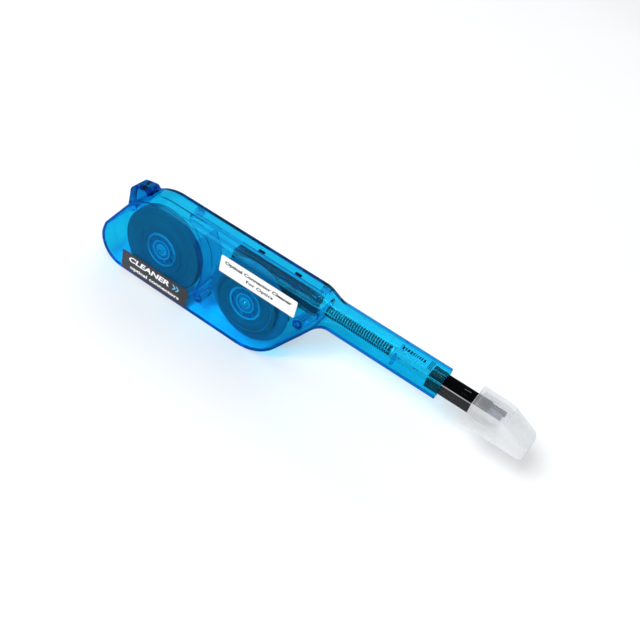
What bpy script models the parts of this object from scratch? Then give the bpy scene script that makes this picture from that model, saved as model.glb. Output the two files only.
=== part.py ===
"""One-click cleaning pen for optical connector faces, at rest, with its dust cap on.

Metres, +Z up. X runs along the pen, with +X towards the tip. The pen stands on the flat lower edge
of its casing, and the origin is the centre of its bounding box, on that edge. The near shell, which
carries the labels, is on the -Y side.
"""

from math import acos, atan2, cos, pi, radians, sin, tan

import bmesh
import bpy
from mathutils import Vector

# Overall size
HALF_LENGTH = 0.11675
HALF_THICKNESS = 0.0090

# Casing
BODY_TOP = 0.0495
NOSE_TOP = 0.0480
NOSE_BOTTOM = 0.0387
NOSE_END = 0.07225
NOSE_HALF = 0.00646
LABEL_STEP = 0.00015
RIM_WALL = 0.0012
FACE_WALL = 0.00145
SEAM = 0.0001
RAMP_START = 0.00425
RAMP_END = 0.01525

# Outline of the casing seen from the side: x, z and corner radius, anticlockwise
OUTLINE = (
    (RAMP_END, NOSE_TOP, 0.012),
    (0.00375, BODY_TOP, 0.012),
    (-0.09545, BODY_TOP, 0.026),
    (-0.11535, 0.0210, 0.008),
    (-HALF_LENGTH, 0.0152, 0.009),
    (-HALF_LENGTH, 0.0, 0.014),
    (-0.01375, 0.0, 0.0258),
    (0.01145, NOSE_BOTTOM, 0.009),
    (NOSE_END, NOSE_BOTTOM, 0.0005),
    (NOSE_END, NOSE_TOP, 0.0005),
)

# Corner tab at the rear of the top edge
TAB_OUTLINE = (
    (-0.0970, 0.0410, 0.0),
    (-0.0930, 0.0478, 0.0),
    (-0.0957, 0.0500, 0.0015),
    (-0.1045, 0.0482, 0.0030),
    (-0.1052, 0.0355, 0.0010),
    (-0.1015, 0.0340, 0.0),
)
TAB_HALF = 0.0050

# Tape reels
SUPPLY_X, SUPPLY_Z = -0.07945, 0.0250
TAKEUP_X, TAKEUP_Z = -0.02755, 0.0257
TAPE_NEAR, TAPE_FAR = -0.0070, -0.0039
TAPE_THICKNESS = 0.00025
HUB_RADIUS = 0.0090
SUPPLY_FLANGE = 0.0227
TAKEUP_FLANGE = 0.0222
SUPPLY_ROLL = 0.0224
TAKEUP_ROLL = 0.0170
FLANGE_NEAR, FLANGE_FAR = -0.0038, -0.0032
AXLE_RADIUS = 0.0015
AXLE_NEAR, AXLE_FAR = -0.0082, 0.0074

# Drive gear and rack
GEAR_TEETH = 28
GEAR_MODULE = 0.00075
GEAR_NEAR, GEAR_FAR = -0.0022, 0.0008
GEAR_POCKET = 0.0082
PRESSURE_ANGLE = radians(20)
BACKLASH = 0.00015
RACK_TEETH = 14

# Ratchet
RATCHET_TEETH = 12
RATCHET_TIP, RATCHET_ROOT = 0.0062, 0.0052
PAWL_POST_X, PAWL_POST_Z = -0.0125, 0.0170

# Plunger: slider, rod, nose tube
AXIS_Z = 0.0432
SLIDER_REAR, SLIDER_FRONT = -0.04275, 0.00625
SLIDER_HALF = 0.0022
SLIDER_TOP = 0.0472
ROD_RADIUS = 0.0012
COLLAR_X, COLLAR_RADIUS = 0.0453, 0.0025
FRONT_ROD_HALF_Y, FRONT_ROD_HALF_Z = 0.0020, 0.0014
PLUG_REAR, PLUG_FRONT, PLUG_HALF_Y = 0.0655, 0.0682, 0.0033
TUBE_REAR, TUBE_FRONT = 0.06525, 0.09425
TUBE_HALF_Y, TUBE_HALF_Z = 0.00435, 0.0030
TUBE_WALL = 0.0008
PRONG_END, PRONG_STEP = 0.10125, 0.0010

# Springs
SPRING_REAR, SPRING_FRONT = 0.0102, 0.0451
SPRING_RADIUS, SPRING_WIRE, SPRING_TURNS = 0.0020, 0.0003, 27
HEAD_SPRING_REAR, HEAD_SPRING_FRONT = 0.0684, 0.0838
HEAD_SPRING_RADIUS, HEAD_SPRING_WIRE, HEAD_SPRING_TURNS = 0.0012, 0.0002, 10

# Tip head
HEAD_REAR, HEAD_SHOULDER, HEAD_END = 0.0840, 0.0940, 0.1002
HEAD_HALF_Y, HEAD_HALF_Z = 0.0032, 0.00155
TONGUE_HALF_Y, TONGUE_HALF_Z = 0.0019, 0.00135

# Dust cap
CAP_REAR = 0.08735
CAP_HALF_Y, CAP_LOW, CAP_TOP = 0.0069, 0.03565, 0.0490
CAP_WALL = 0.0013
CAP_SLOPE_START, CAP_SLOPE_END = 0.1020, 0.0415  # X where its top slopes down, Z where it meets the front
CAP_BROW, CAP_LIP, CAP_CHIN, CAP_CHEEK = 0.0080, 0.0025, 0.0020, 0.0025  # slope's ends, bottom, sides
CAP_MOUTH_GAP = 0.0002

# Inside the casing
STOP_REAR, STOP_FRONT, STOP_HALF = 0.0088, 0.0100, 0.0070
STOP_LOW, STOP_TOP = 0.0412, 0.0453
GUIDE_REAR, GUIDE_FRONT = 0.0476, 0.0488
GUIDE_LOW, GUIDE_TOP = 0.0410, 0.0456
ROD_HOLE_RADIUS = 0.0016
CHANNEL_LOW = 0.0459
SUPPLY_BOSS_RADIUS, TAKEUP_BOSS_RADIUS, PAWL_POST_RADIUS, PAWL_PIN_RADIUS = 0.0058, 0.0030, 0.0024, 0.0010
AXLE_HOLE_RADIUS = 0.0016
TOP_SLOTS = (-0.0311, -0.0099)
TOP_SLOT_HALF, TOP_SLOT_NEAR, TOP_SLOT_FAR = 0.0017, 0.0031, 0.0043

# Tape strands in the nose: above and below the rod, on its far side
STRAND_TOP_Z, STRAND_LOW_Z, STRAND_Y = 0.0462, 0.04025, 0.0031
TUBE_STRAND_OFFSET = 0.0018

# Labels: low x, high x, low z, high z and corner radius
WHITE_LABEL = (-0.04435, -0.00065, 0.0363, 0.0460, 0.0009)
DARK_LABEL = (-0.10215, -0.05925, 0.0009, 0.0124, 0.0012)

# Screws: x and z of each
SCREWS = {"rear": (-0.0958, 0.0055), "middle": (-0.0538, 0.0110), "front": (0.0015, 0.0330)}
BOSS_RADIUS = 0.0026
SCREW_RADIUS = 0.00095
SCREW_HEAD_RADIUS = 0.0019

SMALL_ROUND = 20
LARGE_ROUND = 44

OVERSHOOT = 0.004


# Materials

def material(name, colour, roughness, metallic=0.0):
    made = bpy.data.materials.new(name)
    made.use_nodes = True
    shader = made.node_tree.nodes["Principled BSDF"]
    shader.inputs["Base Color"].default_value = (*colour, 1.0)
    shader.inputs["Roughness"].default_value = roughness
    shader.inputs["Metallic"].default_value = metallic
    return made


# Outlines

def corner_arc(before, corner, after, radius, steps):
    """The points of a rounded corner, from the edge that comes in to the edge that goes out."""
    point = Vector(corner)
    back = (Vector(before) - point).normalized()
    ahead = (Vector(after) - point).normalized()
    angle = acos(max(-1.0, min(1.0, back.dot(ahead))))
    centre = point + (back + ahead).normalized() * radius / sin(angle / 2)
    reach = radius / tan(angle / 2)
    first = point + back * reach - centre
    last = point + ahead * reach - centre
    start = atan2(first.y, first.x)
    turn = (atan2(last.y, last.x) - start + pi) % (2 * pi) - pi
    angles = [start + turn * step / steps for step in range(steps + 1)]
    return [(centre.x + radius * cos(a), centre.y + radius * sin(a)) for a in angles]


def rounded(corners, steps=8):
    """A closed outline of corners (u, v, radius), with each radius as an arc."""
    points = []
    for index, (u, v, radius) in enumerate(corners):
        if radius == 0.0:
            points.append((u, v))
            continue
        before = corners[index - 1][:2]
        after = corners[(index + 1) % len(corners)][:2]
        points += corner_arc(before, (u, v), after, radius, steps)
    return points


def inset(corners, distance):
    """The same corners moved inwards, for an outline that runs anticlockwise."""
    moved = []
    for index, (u, v, radius) in enumerate(corners):
        before = Vector(corners[index - 1][:2])
        corner = Vector((u, v))
        after = Vector(corners[(index + 1) % len(corners)][:2])
        back = (corner - before).normalized()
        ahead = (after - corner).normalized()
        turn = back.x * ahead.y - back.y * ahead.x
        inward = Vector((-back.y, back.x)) + Vector((-ahead.y, ahead.x))
        corner += inward * distance / (1 + back.dot(ahead))
        changed = radius - distance if turn > 0 else radius + distance
        moved.append((corner.x, corner.y, max(changed, 0.0003)))
    return moved


def circle(radius, steps, start=0.0):
    return [
        (radius * cos(start + 2 * pi * step / steps), radius * sin(start + 2 * pi * step / steps))
        for step in range(steps)
    ]


def shifted(points, u, v):
    return [(point[0] + u, point[1] + v) for point in points]


def rectangle(u0, u1, v0, v1):
    return [(u0, v0), (u1, v0), (u1, v1), (u0, v1)]


# Solids

def to_object(name, shape, look=None):
    bmesh.ops.recalc_face_normals(shape, faces=shape.faces)
    if shape.calc_volume(signed=True) < 0:
        bmesh.ops.reverse_faces(shape, faces=shape.faces)
    mesh = bpy.data.meshes.new(name)
    shape.to_mesh(mesh)
    shape.free()
    made = bpy.data.objects.new(name, mesh)
    bpy.context.scene.collection.objects.link(made)
    if look:
        mesh.materials.append(look)
    return made


def prism(name, outline, low, high, along="Y", look=None):
    """An outline extruded along an axis: (x, z) along Y, (x, y) along Z, (y, z) along X."""
    place = {
        "X": lambda u, v, w: (w, u, v),
        "Y": lambda u, v, w: (u, w, v),
        "Z": lambda u, v, w: (u, v, w),
    }[along]
    shape = bmesh.new()
    base = shape.faces.new([shape.verts.new(place(u, v, low)) for u, v in outline])
    raised = bmesh.ops.extrude_face_region(shape, geom=[base])
    step = Vector(place(0.0, 0.0, high)) - Vector(place(0.0, 0.0, low))
    tops = [item for item in raised["geom"] if isinstance(item, bmesh.types.BMVert)]
    bmesh.ops.translate(shape, verts=tops, vec=step)
    return to_object(name, shape, look)


def disc(name, x, z, radius, low, high, look=None, steps=SMALL_ROUND):
    return prism(name, shifted(circle(radius, steps), x, z), low, high, "Y", look)


def lathe(name, profile, look=None, steps=LARGE_ROUND):
    """A closed profile of (radius, y) turned about the Y axis through the object's origin."""
    shape = bmesh.new()
    rings = []
    for step in range(steps):
        angle = 2 * pi * step / steps
        rings.append([shape.verts.new((r * cos(angle), y, r * sin(angle))) for r, y in profile])
    for step in range(steps):
        here, there = rings[step], rings[(step + 1) % steps]
        for index in range(len(profile)):
            after = (index + 1) % len(profile)
            shape.faces.new((here[index], there[index], there[after], here[after]))
    return to_object(name, shape, look)


def ribbon(name, route, width, thickness, look):
    """A flat strip along a route of (x, y, z), as wide as width along Y."""
    shape = bmesh.new()
    rings = []
    for index, here in enumerate(route):
        before = Vector(route[max(index - 1, 0)])
        after = Vector(route[min(index + 1, len(route) - 1)])
        run = (after - before).normalized()
        up = Vector((-run.z, 0.0, run.x)).normalized() * thickness / 2
        side = Vector((0.0, width / 2, 0.0))
        middle = Vector(here)
        corners = (middle - side - up, middle + side - up, middle + side + up, middle - side + up)
        rings.append([shape.verts.new(corner) for corner in corners])
    for here, there in zip(rings, rings[1:]):
        for index in range(4):
            after = (index + 1) % 4
            shape.faces.new((here[index], here[after], there[after], there[index]))
    shape.faces.new(rings[0])
    shape.faces.new(rings[-1])
    return to_object(name, shape, look)


def coil(name, x0, x1, radius, wire, turns, look, steps=9, sides=4):
    """A compression spring along X, centred on the plunger's axis."""
    shape = bmesh.new()
    rings = []
    count = turns * steps
    for index in range(count + 1):
        share = index / count
        angle = 2 * pi * turns * share
        along = x0 + wire + (x1 - x0 - 2 * wire) * share
        centre = Vector((along, radius * cos(angle), radius * sin(angle)))
        outward = Vector((0.0, cos(angle), sin(angle)))
        corners = []
        for side in range(sides):
            turn = 2 * pi * side / sides
            corners.append(centre + wire * (outward * cos(turn) + Vector((sin(turn), 0.0, 0.0))))
        rings.append([shape.verts.new(corner + Vector((0.0, 0.0, AXIS_Z))) for corner in corners])
    for here, there in zip(rings, rings[1:]):
        for index in range(sides):
            after = (index + 1) % sides
            shape.faces.new((here[index], here[after], there[after], there[index]))
    shape.faces.new(rings[0])
    shape.faces.new(rings[-1])
    return to_object(name, shape, look)


def combine(target, operation, others):
    """Adds, cuts or keeps what the target shares with the other solids, which become hidden helpers."""
    group = bpy.data.collections.new(target.name + "_" + operation.lower() + str(len(target.modifiers)))
    bpy.context.scene.collection.children.link(group)
    for other in others:
        for home in list(other.users_collection):
            home.objects.unlink(other)
        group.objects.link(other)
        other.hide_render = True
        other.display_type = "WIRE"
    step = target.modifiers.new(operation.title(), "BOOLEAN")
    step.operation = operation
    step.solver = "EXACT"
    step.operand_type = "COLLECTION"
    step.collection = group
    return target


def origin_at(made, point, parent=None):
    """Moves an object's origin to a point on its joint's axis, with the shape left where it is."""
    point = Vector(point)
    for vertex in made.data.vertices:
        vertex.co -= point
    made.location = point
    if parent:
        made.parent = parent
        made.location = point - parent.location
    return made


def smooth(made, angle=radians(30)):
    made.data.shade_smooth()
    made.data.set_sharp_from_angle(angle=angle)
    return made


def axis_empty(name, place):
    made = bpy.data.objects.new(name, None)
    made.location = place
    made.empty_display_size = 0.01
    bpy.context.scene.collection.objects.link(made)
    return made


# Casing

def half_width(x, body, nose):
    """Half the casing's thickness at x, which eases from the body to the nose."""
    share = max(0.0, min(1.0, (x - RAMP_START) / (RAMP_END - RAMP_START)))
    return body + (nose - body) * share * share * (3 - 2 * share)


def plan_prism(name, side, body, nose, seam, steps=8):
    """The casing's half seen from above, extruded through its whole height."""
    ramp = [RAMP_START + (RAMP_END - RAMP_START) * step / steps for step in range(steps + 1)]
    rear, front = -HALF_LENGTH - OVERSHOOT, NOSE_END + OVERSHOOT
    outline = [(rear, side * seam), (rear, side * body)]
    outline += [(x, side * half_width(x, body, nose)) for x in ramp]
    outline += [(front, side * nose), (front, side * seam)]
    return prism(name, outline, -OVERSHOOT, BODY_TOP + OVERSHOOT, "Z")


def cavity(name, side, body):
    """The hollow of one shell, open at the seam and at the nose."""
    corners = inset(OUTLINE, RIM_WALL)
    mouth = [(x + OVERSHOOT if x > 0.05 else x, z, radius) for x, z, radius in corners]
    made = prism(name, rounded(mouth), -HALF_THICKNESS, HALF_THICKNESS)
    plan = plan_prism(name + "_plan", side, body - FACE_WALL, NOSE_HALF - RIM_WALL, -OVERSHOOT)
    return combine(made, "INTERSECT", [plan])


def divider(name, low, high, first=-34, last=42, inner=0.0250, outer=0.0259, steps=14):
    """The curved wall between the two reels, concentric with the supply reel."""
    angles = [radians(first + (last - first) * step / steps) for step in range(steps + 1)]
    outline = [(outer * cos(a), outer * sin(a)) for a in angles]
    outline += [(inner * cos(a), inner * sin(a)) for a in reversed(angles)]
    return prism(name, shifted(outline, SUPPLY_X, SUPPLY_Z), low, high)


def channel_rib(name, side, end_x=-0.0677, inner=0.0024, outer=0.0030, steps=8):
    """The rib under the top wall that keeps the slider straight, with a round rear end."""
    angles = [pi / 2 + (pi / 2 - 0.03) * step / steps for step in range(steps + 1)]
    outline = [(RAMP_START, side * outer)]
    outline += [(end_x + outer * cos(a), side * outer * sin(a)) for a in angles]
    outline += [(end_x + inner * cos(a), side * inner * sin(a)) for a in reversed(angles)]
    outline += [(RAMP_START, side * inner)]
    return prism(name, outline, CHANNEL_LOW, BODY_TOP - RIM_WALL / 2, "Z")


def shell(name, side, look):
    """One moulded half of the casing. side is -1 for the near half and +1 for the far half."""
    body = HALF_THICKNESS - (LABEL_STEP if side < 0 else 0.0)
    between = sorted((side * SEAM, side * (body - FACE_WALL / 2)))
    across = sorted((side * (SEAM / 2), side * HALF_THICKNESS))
    made = prism(name, rounded(OUTLINE), *across, look=look)
    combine(made, "INTERSECT", [plan_prism(name + "_plan", side, body, NOSE_HALF, SEAM)])
    combine(made, "DIFFERENCE", [cavity(name + "_cavity", side, body)])

    tab = prism(name + "_tab", rounded(TAB_OUTLINE, 5), *sorted((side * SEAM, side * TAB_HALF)))
    stop_outline = rectangle(STOP_REAR, STOP_FRONT, STOP_LOW, STOP_TOP)
    stop = prism(name + "_stop", stop_outline, *sorted((side * SEAM, side * STOP_HALF)))
    guide_outline = rectangle(GUIDE_REAR, GUIDE_FRONT, GUIDE_LOW, GUIDE_TOP)
    guide_reach = sorted((side * (FRONT_ROD_HALF_Y + 0.0003), side * (NOSE_HALF - RIM_WALL / 2)))
    guide = prism(name + "_guide", guide_outline, *guide_reach)
    adds = [tab, stop, guide, divider(name + "_divider", *between), channel_rib(name + "_rib", side)]
    for place, (x, z) in SCREWS.items():
        adds.append(disc(f"{name}_boss_{place}", x, z, BOSS_RADIUS, *between))
    if side > 0:
        supply, takeup, post = (SUPPLY_X, SUPPLY_Z), (TAKEUP_X, TAKEUP_Z), (PAWL_POST_X, PAWL_POST_Z)
        adds.append(disc(name + "_supply_boss", *supply, SUPPLY_BOSS_RADIUS, -0.0022, between[1]))
        adds.append(disc(name + "_takeup_boss", *takeup, TAKEUP_BOSS_RADIUS, 0.0015, between[1]))
        adds.append(disc(name + "_pawl_post", *post, PAWL_POST_RADIUS, -0.0018, between[1]))
        adds.append(disc(name + "_pawl_pin", *post, PAWL_PIN_RADIUS, -0.0030, 0.0))
    combine(made, "UNION", adds)

    rod_hole = shifted(circle(ROD_HOLE_RADIUS, 16), 0.0, AXIS_Z)
    cuts = [prism(name + "_rod_hole", rod_hole, STOP_REAR - 0.002, STOP_FRONT + 0.002, "X")]
    for reel, (x, z) in {"supply": (SUPPLY_X, SUPPLY_Z), "takeup": (TAKEUP_X, TAKEUP_Z)}.items():
        hole = (-0.0083, 0.0) if side < 0 else (-0.0040, 0.0076)
        cuts.append(disc(f"{name}_{reel}_hole", x, z, AXLE_HOLE_RADIUS, *hole))
    for place, (x, z) in SCREWS.items():
        if side < 0:
            cuts.append(disc(f"{name}_pilot_{place}", x, z, SCREW_RADIUS + 0.0001, -0.0066, OVERSHOOT))
            continue
        cuts.append(disc(f"{name}_clear_{place}", x, z, SCREW_RADIUS + 0.0003, -0.001, 0.0110))
        cuts.append(disc(f"{name}_sink_{place}", x, z, SCREW_HEAD_RADIUS + 0.0003, 0.0070, 0.0110))
    if side > 0:
        for x in TOP_SLOTS:
            slot = rectangle(x - TOP_SLOT_HALF, x + TOP_SLOT_HALF, BODY_TOP - 0.0015, BODY_TOP + 0.0025)
            cuts.append(prism(f"{name}_slot_{abs(x)}", slot, TOP_SLOT_NEAR, TOP_SLOT_FAR))
    return combine(made, "DIFFERENCE", cuts)


def screw(place, look):
    """A short self-tapping screw with a cross recess, put in from the far side."""
    x, z = SCREWS[place]
    profile = [
        (0.0, -0.0060), (SCREW_RADIUS, -0.0052), (SCREW_RADIUS, 0.0071), (SCREW_HEAD_RADIUS, 0.0071),
        (SCREW_HEAD_RADIUS, 0.0078), (SCREW_HEAD_RADIUS * 0.7, 0.0084), (0.0, 0.0085),
    ]
    made = solid_of_revolution("shell_screw_" + place, profile, look, 16)
    made.location = (x, 0.0, z)
    slots = []
    for index, (wide, tall) in enumerate(((0.0011, 0.00022), (0.00022, 0.0011))):
        outline = shifted(rectangle(-wide, wide, -tall, tall), x, z)
        slots.append(prism(f"{place}_cross_{index}", outline, 0.0079, 0.0100))
    return combine(smooth(made), "DIFFERENCE", slots)


def solid_of_revolution(name, profile, look, steps):
    """A profile of (radius, y) that starts and ends on the Y axis, turned about it."""
    shape = bmesh.new()
    first = shape.verts.new((0.0, profile[0][1], 0.0))
    last = shape.verts.new((0.0, profile[-1][1], 0.0))
    rings = []
    for radius, y in profile[1:-1]:
        rings.append([shape.verts.new((u, y, v)) for u, v in circle(radius, steps)])
    for step in range(steps):
        after = (step + 1) % steps
        shape.faces.new((first, rings[0][step], rings[0][after]))
        shape.faces.new((last, rings[-1][step], rings[-1][after]))
        for here, there in zip(rings, rings[1:]):
            shape.faces.new((here[step], here[after], there[after], there[step]))
    return to_object(name, shape, look)


# Reels

def reel(name, x, z, flange, back, look):
    """A hub with a far flange. back is how far its rear boss reaches along Y."""
    profile = [
        (0.00175, -0.0071), (0.0031, -0.0071), (0.0031, -0.0056), (0.0080, -0.0056), (0.0080, -0.0071),
        (HUB_RADIUS, -0.0071), (HUB_RADIUS, FLANGE_NEAR), (flange, FLANGE_NEAR), (flange, FLANGE_FAR),
        (0.0080, FLANGE_FAR), (0.0080, -0.0046), (0.0032, -0.0046), (0.0032, back), (0.00175, back),
    ]
    made = lathe(name, profile, look)
    made.location = (x, 0.0, z)
    return smooth(made)


def tape_roll(name, x, z, radius, look):
    inner = HUB_RADIUS + 0.0002
    profile = [(inner, TAPE_NEAR), (radius, TAPE_NEAR), (radius, TAPE_FAR), (inner, TAPE_FAR)]
    made = lathe(name, profile, look)
    made.location = (x, 0.0, z)
    return smooth(made)


def axle(name, x, z, look):
    small = AXLE_RADIUS - 0.0003
    profile = [
        (0.0, AXLE_NEAR), (small, AXLE_NEAR), (AXLE_RADIUS, AXLE_NEAR + 0.0003),
        (AXLE_RADIUS, AXLE_FAR - 0.0003), (small, AXLE_FAR), (0.0, AXLE_FAR),
    ]
    made = solid_of_revolution(name, profile, look, SMALL_ROUND)
    made.location = (x, 0.0, z)
    return smooth(made)


# Drive

def gear_outline(steps=3):
    """Involute teeth, with one tooth centred on the +Z direction. The two numbers are x and z."""
    pitch = GEAR_MODULE * GEAR_TEETH / 2
    base = pitch * cos(PRESSURE_ANGLE)
    tip, root = pitch + GEAR_MODULE * 0.92, pitch - GEAR_MODULE * 1.25
    half_tooth = (pi * GEAR_MODULE / 2 - BACKLASH) / (2 * pitch)
    involute_at_pitch = tan(PRESSURE_ANGLE) - PRESSURE_ANGLE
    flank = []
    for step in range(steps + 1):
        radius = base + (tip - base) * step / steps
        pressure = acos(base / radius)
        flank.append((radius, half_tooth + involute_at_pitch - (tan(pressure) - pressure)))
    flank.insert(0, (root, flank[0][1]))
    points = []
    for tooth in range(GEAR_TEETH):
        middle = pi / 2 + 2 * pi * tooth / GEAR_TEETH
        points += [(r * cos(middle - a), r * sin(middle - a)) for r, a in flank]
        points += [(r * cos(middle + a), r * sin(middle + a)) for r, a in reversed(flank)]
    return points


def drive_gear(look):
    """The gear under the slider's rack, with a pocket on its near side for the one-way pawls."""
    outline = shifted(gear_outline(), TAKEUP_X, TAKEUP_Z)
    made = prism("drive_gear", outline, GEAR_NEAR, GEAR_FAR, look=look)
    pocket = disc("gear_pocket", TAKEUP_X, TAKEUP_Z, GEAR_POCKET, GEAR_NEAR - 0.001, 0.0, steps=40)
    bore = disc("gear_bore", TAKEUP_X, TAKEUP_Z, AXLE_RADIUS + 0.0002, -0.001, 0.002)
    combine(made, "DIFFERENCE", [pocket, bore])
    return origin_at(made, (TAKEUP_X, 0.0, TAKEUP_Z))


def ratchet_outline():
    """Saw teeth that push one way only."""
    points = []
    for tooth in range(RATCHET_TEETH):
        start = 2 * pi * tooth / RATCHET_TEETH
        end = 2 * pi * (tooth + 0.88) / RATCHET_TEETH
        points.append((RATCHET_ROOT * cos(start), RATCHET_ROOT * sin(start)))
        points.append((RATCHET_TIP * cos(end), RATCHET_TIP * sin(end)))
    return points


def ratchet_wheel(look):
    outline = shifted(ratchet_outline(), TAKEUP_X, TAKEUP_Z)
    made = prism("ratchet_wheel", outline, -0.0030, -0.0004, look=look)
    combine(made, "DIFFERENCE", [disc("ratchet_bore", TAKEUP_X, TAKEUP_Z, 0.0033, -0.004, 0.001)])
    return origin_at(made, (TAKEUP_X, 0.0, TAKEUP_Z))


def pawl_ring(look, arms=3):
    """A ring inside the gear with sprung arms that bear on the ratchet wheel."""
    outer, inner = GEAR_POCKET - 0.0001, GEAR_POCKET - 0.0007
    made = disc("pawl_ring", TAKEUP_X, TAKEUP_Z, outer, -0.0020, -0.0002, look, 40)
    bore = disc("pawl_ring_bore", TAKEUP_X, TAKEUP_Z, inner, -0.004, 0.001, steps=40)
    combine(made, "DIFFERENCE", [bore])
    added = []
    for arm in range(arms):
        turn = 2 * pi * arm / arms + 0.32
        root = Vector((0.0079 * cos(turn), 0.0079 * sin(turn)))
        tip = Vector((0.0066 * cos(turn + 0.62), 0.0066 * sin(turn + 0.62)))
        side = Vector((-(tip - root).y, (tip - root).x)).normalized() * 0.0003
        corners = [root - side, tip - side * 0.5, tip + side * 0.5, root + side]
        outline = shifted([tuple(corner) for corner in corners], TAKEUP_X, TAKEUP_Z)
        added.append(prism(f"pawl_arm_{arm}", outline, -0.0019, -0.0003))
    combine(made, "UNION", added)
    return origin_at(made, (TAKEUP_X, 0.0, TAKEUP_Z))


def backstop_pawl(look):
    """The sprung arm that stops the take-up reel from turning back."""
    post = Vector((PAWL_POST_X, PAWL_POST_Z))
    centre = Vector((TAKEUP_X, TAKEUP_Z))
    inward = (centre - post).normalized()
    across = Vector((-inward.y, inward.x))
    reach = (centre - post).length - RATCHET_TIP - 0.0004
    corners = [
        post + across * 0.0009, post - across * 0.0009,
        post + inward * reach - across * 0.0002, post + inward * reach + across * 0.0004,
    ]
    made = prism("backstop_pawl", [tuple(corner) for corner in corners], -0.0029, -0.00235, look=look)
    combine(made, "UNION", [disc("pawl_eye", PAWL_POST_X, PAWL_POST_Z, 0.0021, -0.0029, -0.00235)])
    combine(made, "DIFFERENCE", [disc("pawl_eye_hole", PAWL_POST_X, PAWL_POST_Z, 0.0011, -0.004, 0.0)])
    return origin_at(made, (PAWL_POST_X, 0.0, PAWL_POST_Z))


# Plunger

def rack_outline():
    """The slider seen from the side, with rack teeth below that mesh with the gear at its top."""
    pitch = pi * GEAR_MODULE
    line = TAKEUP_Z + GEAR_MODULE * GEAR_TEETH / 2
    tip, root = line - GEAR_MODULE * 0.92, line + GEAR_MODULE * 1.25
    half = (pitch / 2 - BACKLASH) / 2
    lean = tan(PRESSURE_ANGLE)
    points = [(SLIDER_REAR, SLIDER_TOP - 0.0012), (SLIDER_REAR, root)]
    for tooth in range(RACK_TEETH):
        middle = TAKEUP_X + pitch * (tooth - RACK_TEETH // 3 + 0.5)
        points.append((middle - half - (root - line) * lean, root))
        points.append((middle - half + (line - tip) * lean, tip))
        points.append((middle + half - (line - tip) * lean, tip))
        points.append((middle + half + (root - line) * lean, root))
    points += [(SLIDER_FRONT, root + 0.0008), (SLIDER_FRONT, SLIDER_TOP)]
    points.append((SLIDER_REAR + 0.0012, SLIDER_TOP))
    return points


def slider(axis, look):
    made = prism("rack_slider", rack_outline(), -SLIDER_HALF, SLIDER_HALF, look=look)
    relief = rectangle(SLIDER_REAR - 0.001, SLIDER_FRONT - 0.004, 0.0360 - 0.002, 0.0392)
    side_cuts = [
        prism("slider_relief_near", relief, -0.0040, GEAR_NEAR - 0.0002),
        prism("slider_relief_far", relief, GEAR_FAR + 0.0002, 0.0040),
    ]
    window = rectangle(SLIDER_REAR + 0.006, SLIDER_REAR + 0.020, 0.0405, 0.0428)
    side_cuts.append(prism("slider_window", window, -0.0040, 0.0040))
    combine(made, "DIFFERENCE", side_cuts)
    return origin_at(made, (0.0, 0.0, AXIS_Z), axis)


def plunger_rod(axis, look):
    """The round rod in the return spring, its collar, and the flat rod that carries the tube."""
    low, high = AXIS_Z - FRONT_ROD_HALF_Z, AXIS_Z + FRONT_ROD_HALF_Z
    shaft = shifted(circle(ROD_RADIUS, 16), 0.0, AXIS_Z)
    made = prism("plunger_rod", shaft, SLIDER_FRONT + 0.00025, COLLAR_X + 0.0007, "X", look)
    collar = shifted(circle(COLLAR_RADIUS, 16), 0.0, AXIS_Z)
    flat = rectangle(-FRONT_ROD_HALF_Y, FRONT_ROD_HALF_Y, low, high)
    plug = rectangle(-PLUG_HALF_Y, PLUG_HALF_Y, low, high)
    adds = [
        prism("rod_collar", collar, COLLAR_X, COLLAR_X + 0.0012, "X"),
        prism("rod_flat", flat, COLLAR_X + 0.0006, PLUG_REAR + 0.0005, "X"),
        prism("rod_plug", plug, PLUG_REAR, PLUG_FRONT, "X"),
    ]
    combine(made, "UNION", adds)
    return origin_at(made, (0.0, 0.0, AXIS_Z), axis)


def nose_tube(axis, look):
    """The rectangular tube that enters the connector, with two guide prongs at its end."""
    low, high = AXIS_Z - TUBE_HALF_Z, AXIS_Z + TUBE_HALF_Z
    corners = [(y, z, 0.0005) for y, z in rectangle(-TUBE_HALF_Y, TUBE_HALF_Y, low, high)]
    made = prism("nose_tube", rounded(corners, 3), TUBE_REAR, PRONG_END, "X", look)
    inner_y, inner_z = TUBE_HALF_Y - 0.0009, TUBE_HALF_Z - TUBE_WALL
    bore = rectangle(-inner_y, inner_y, AXIS_Z - inner_z, AXIS_Z + inner_z)
    end = PRONG_END + OVERSHOOT
    above = rectangle(-0.0060, 0.0060, high - PRONG_STEP, high + 0.0020)
    below = rectangle(-0.0060, 0.0060, low - 0.0020, low + PRONG_STEP)
    slant_top = AXIS_Z - 0.0008
    slant = [(0.0985, low - 0.001), (end, low - 0.001), (end, slant_top), (0.1005, slant_top)]
    cuts = [
        prism("tube_bore", bore, TUBE_REAR - OVERSHOOT, end, "X"),
        prism("tube_end_top", above, TUBE_FRONT, end, "X"),
        prism("tube_end_low", below, TUBE_FRONT, end, "X"),
        prism("prong_slant", slant, -0.0060, 0.0060),
    ]
    combine(made, "DIFFERENCE", cuts)
    return origin_at(made, (0.0, 0.0, AXIS_Z), axis)


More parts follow.
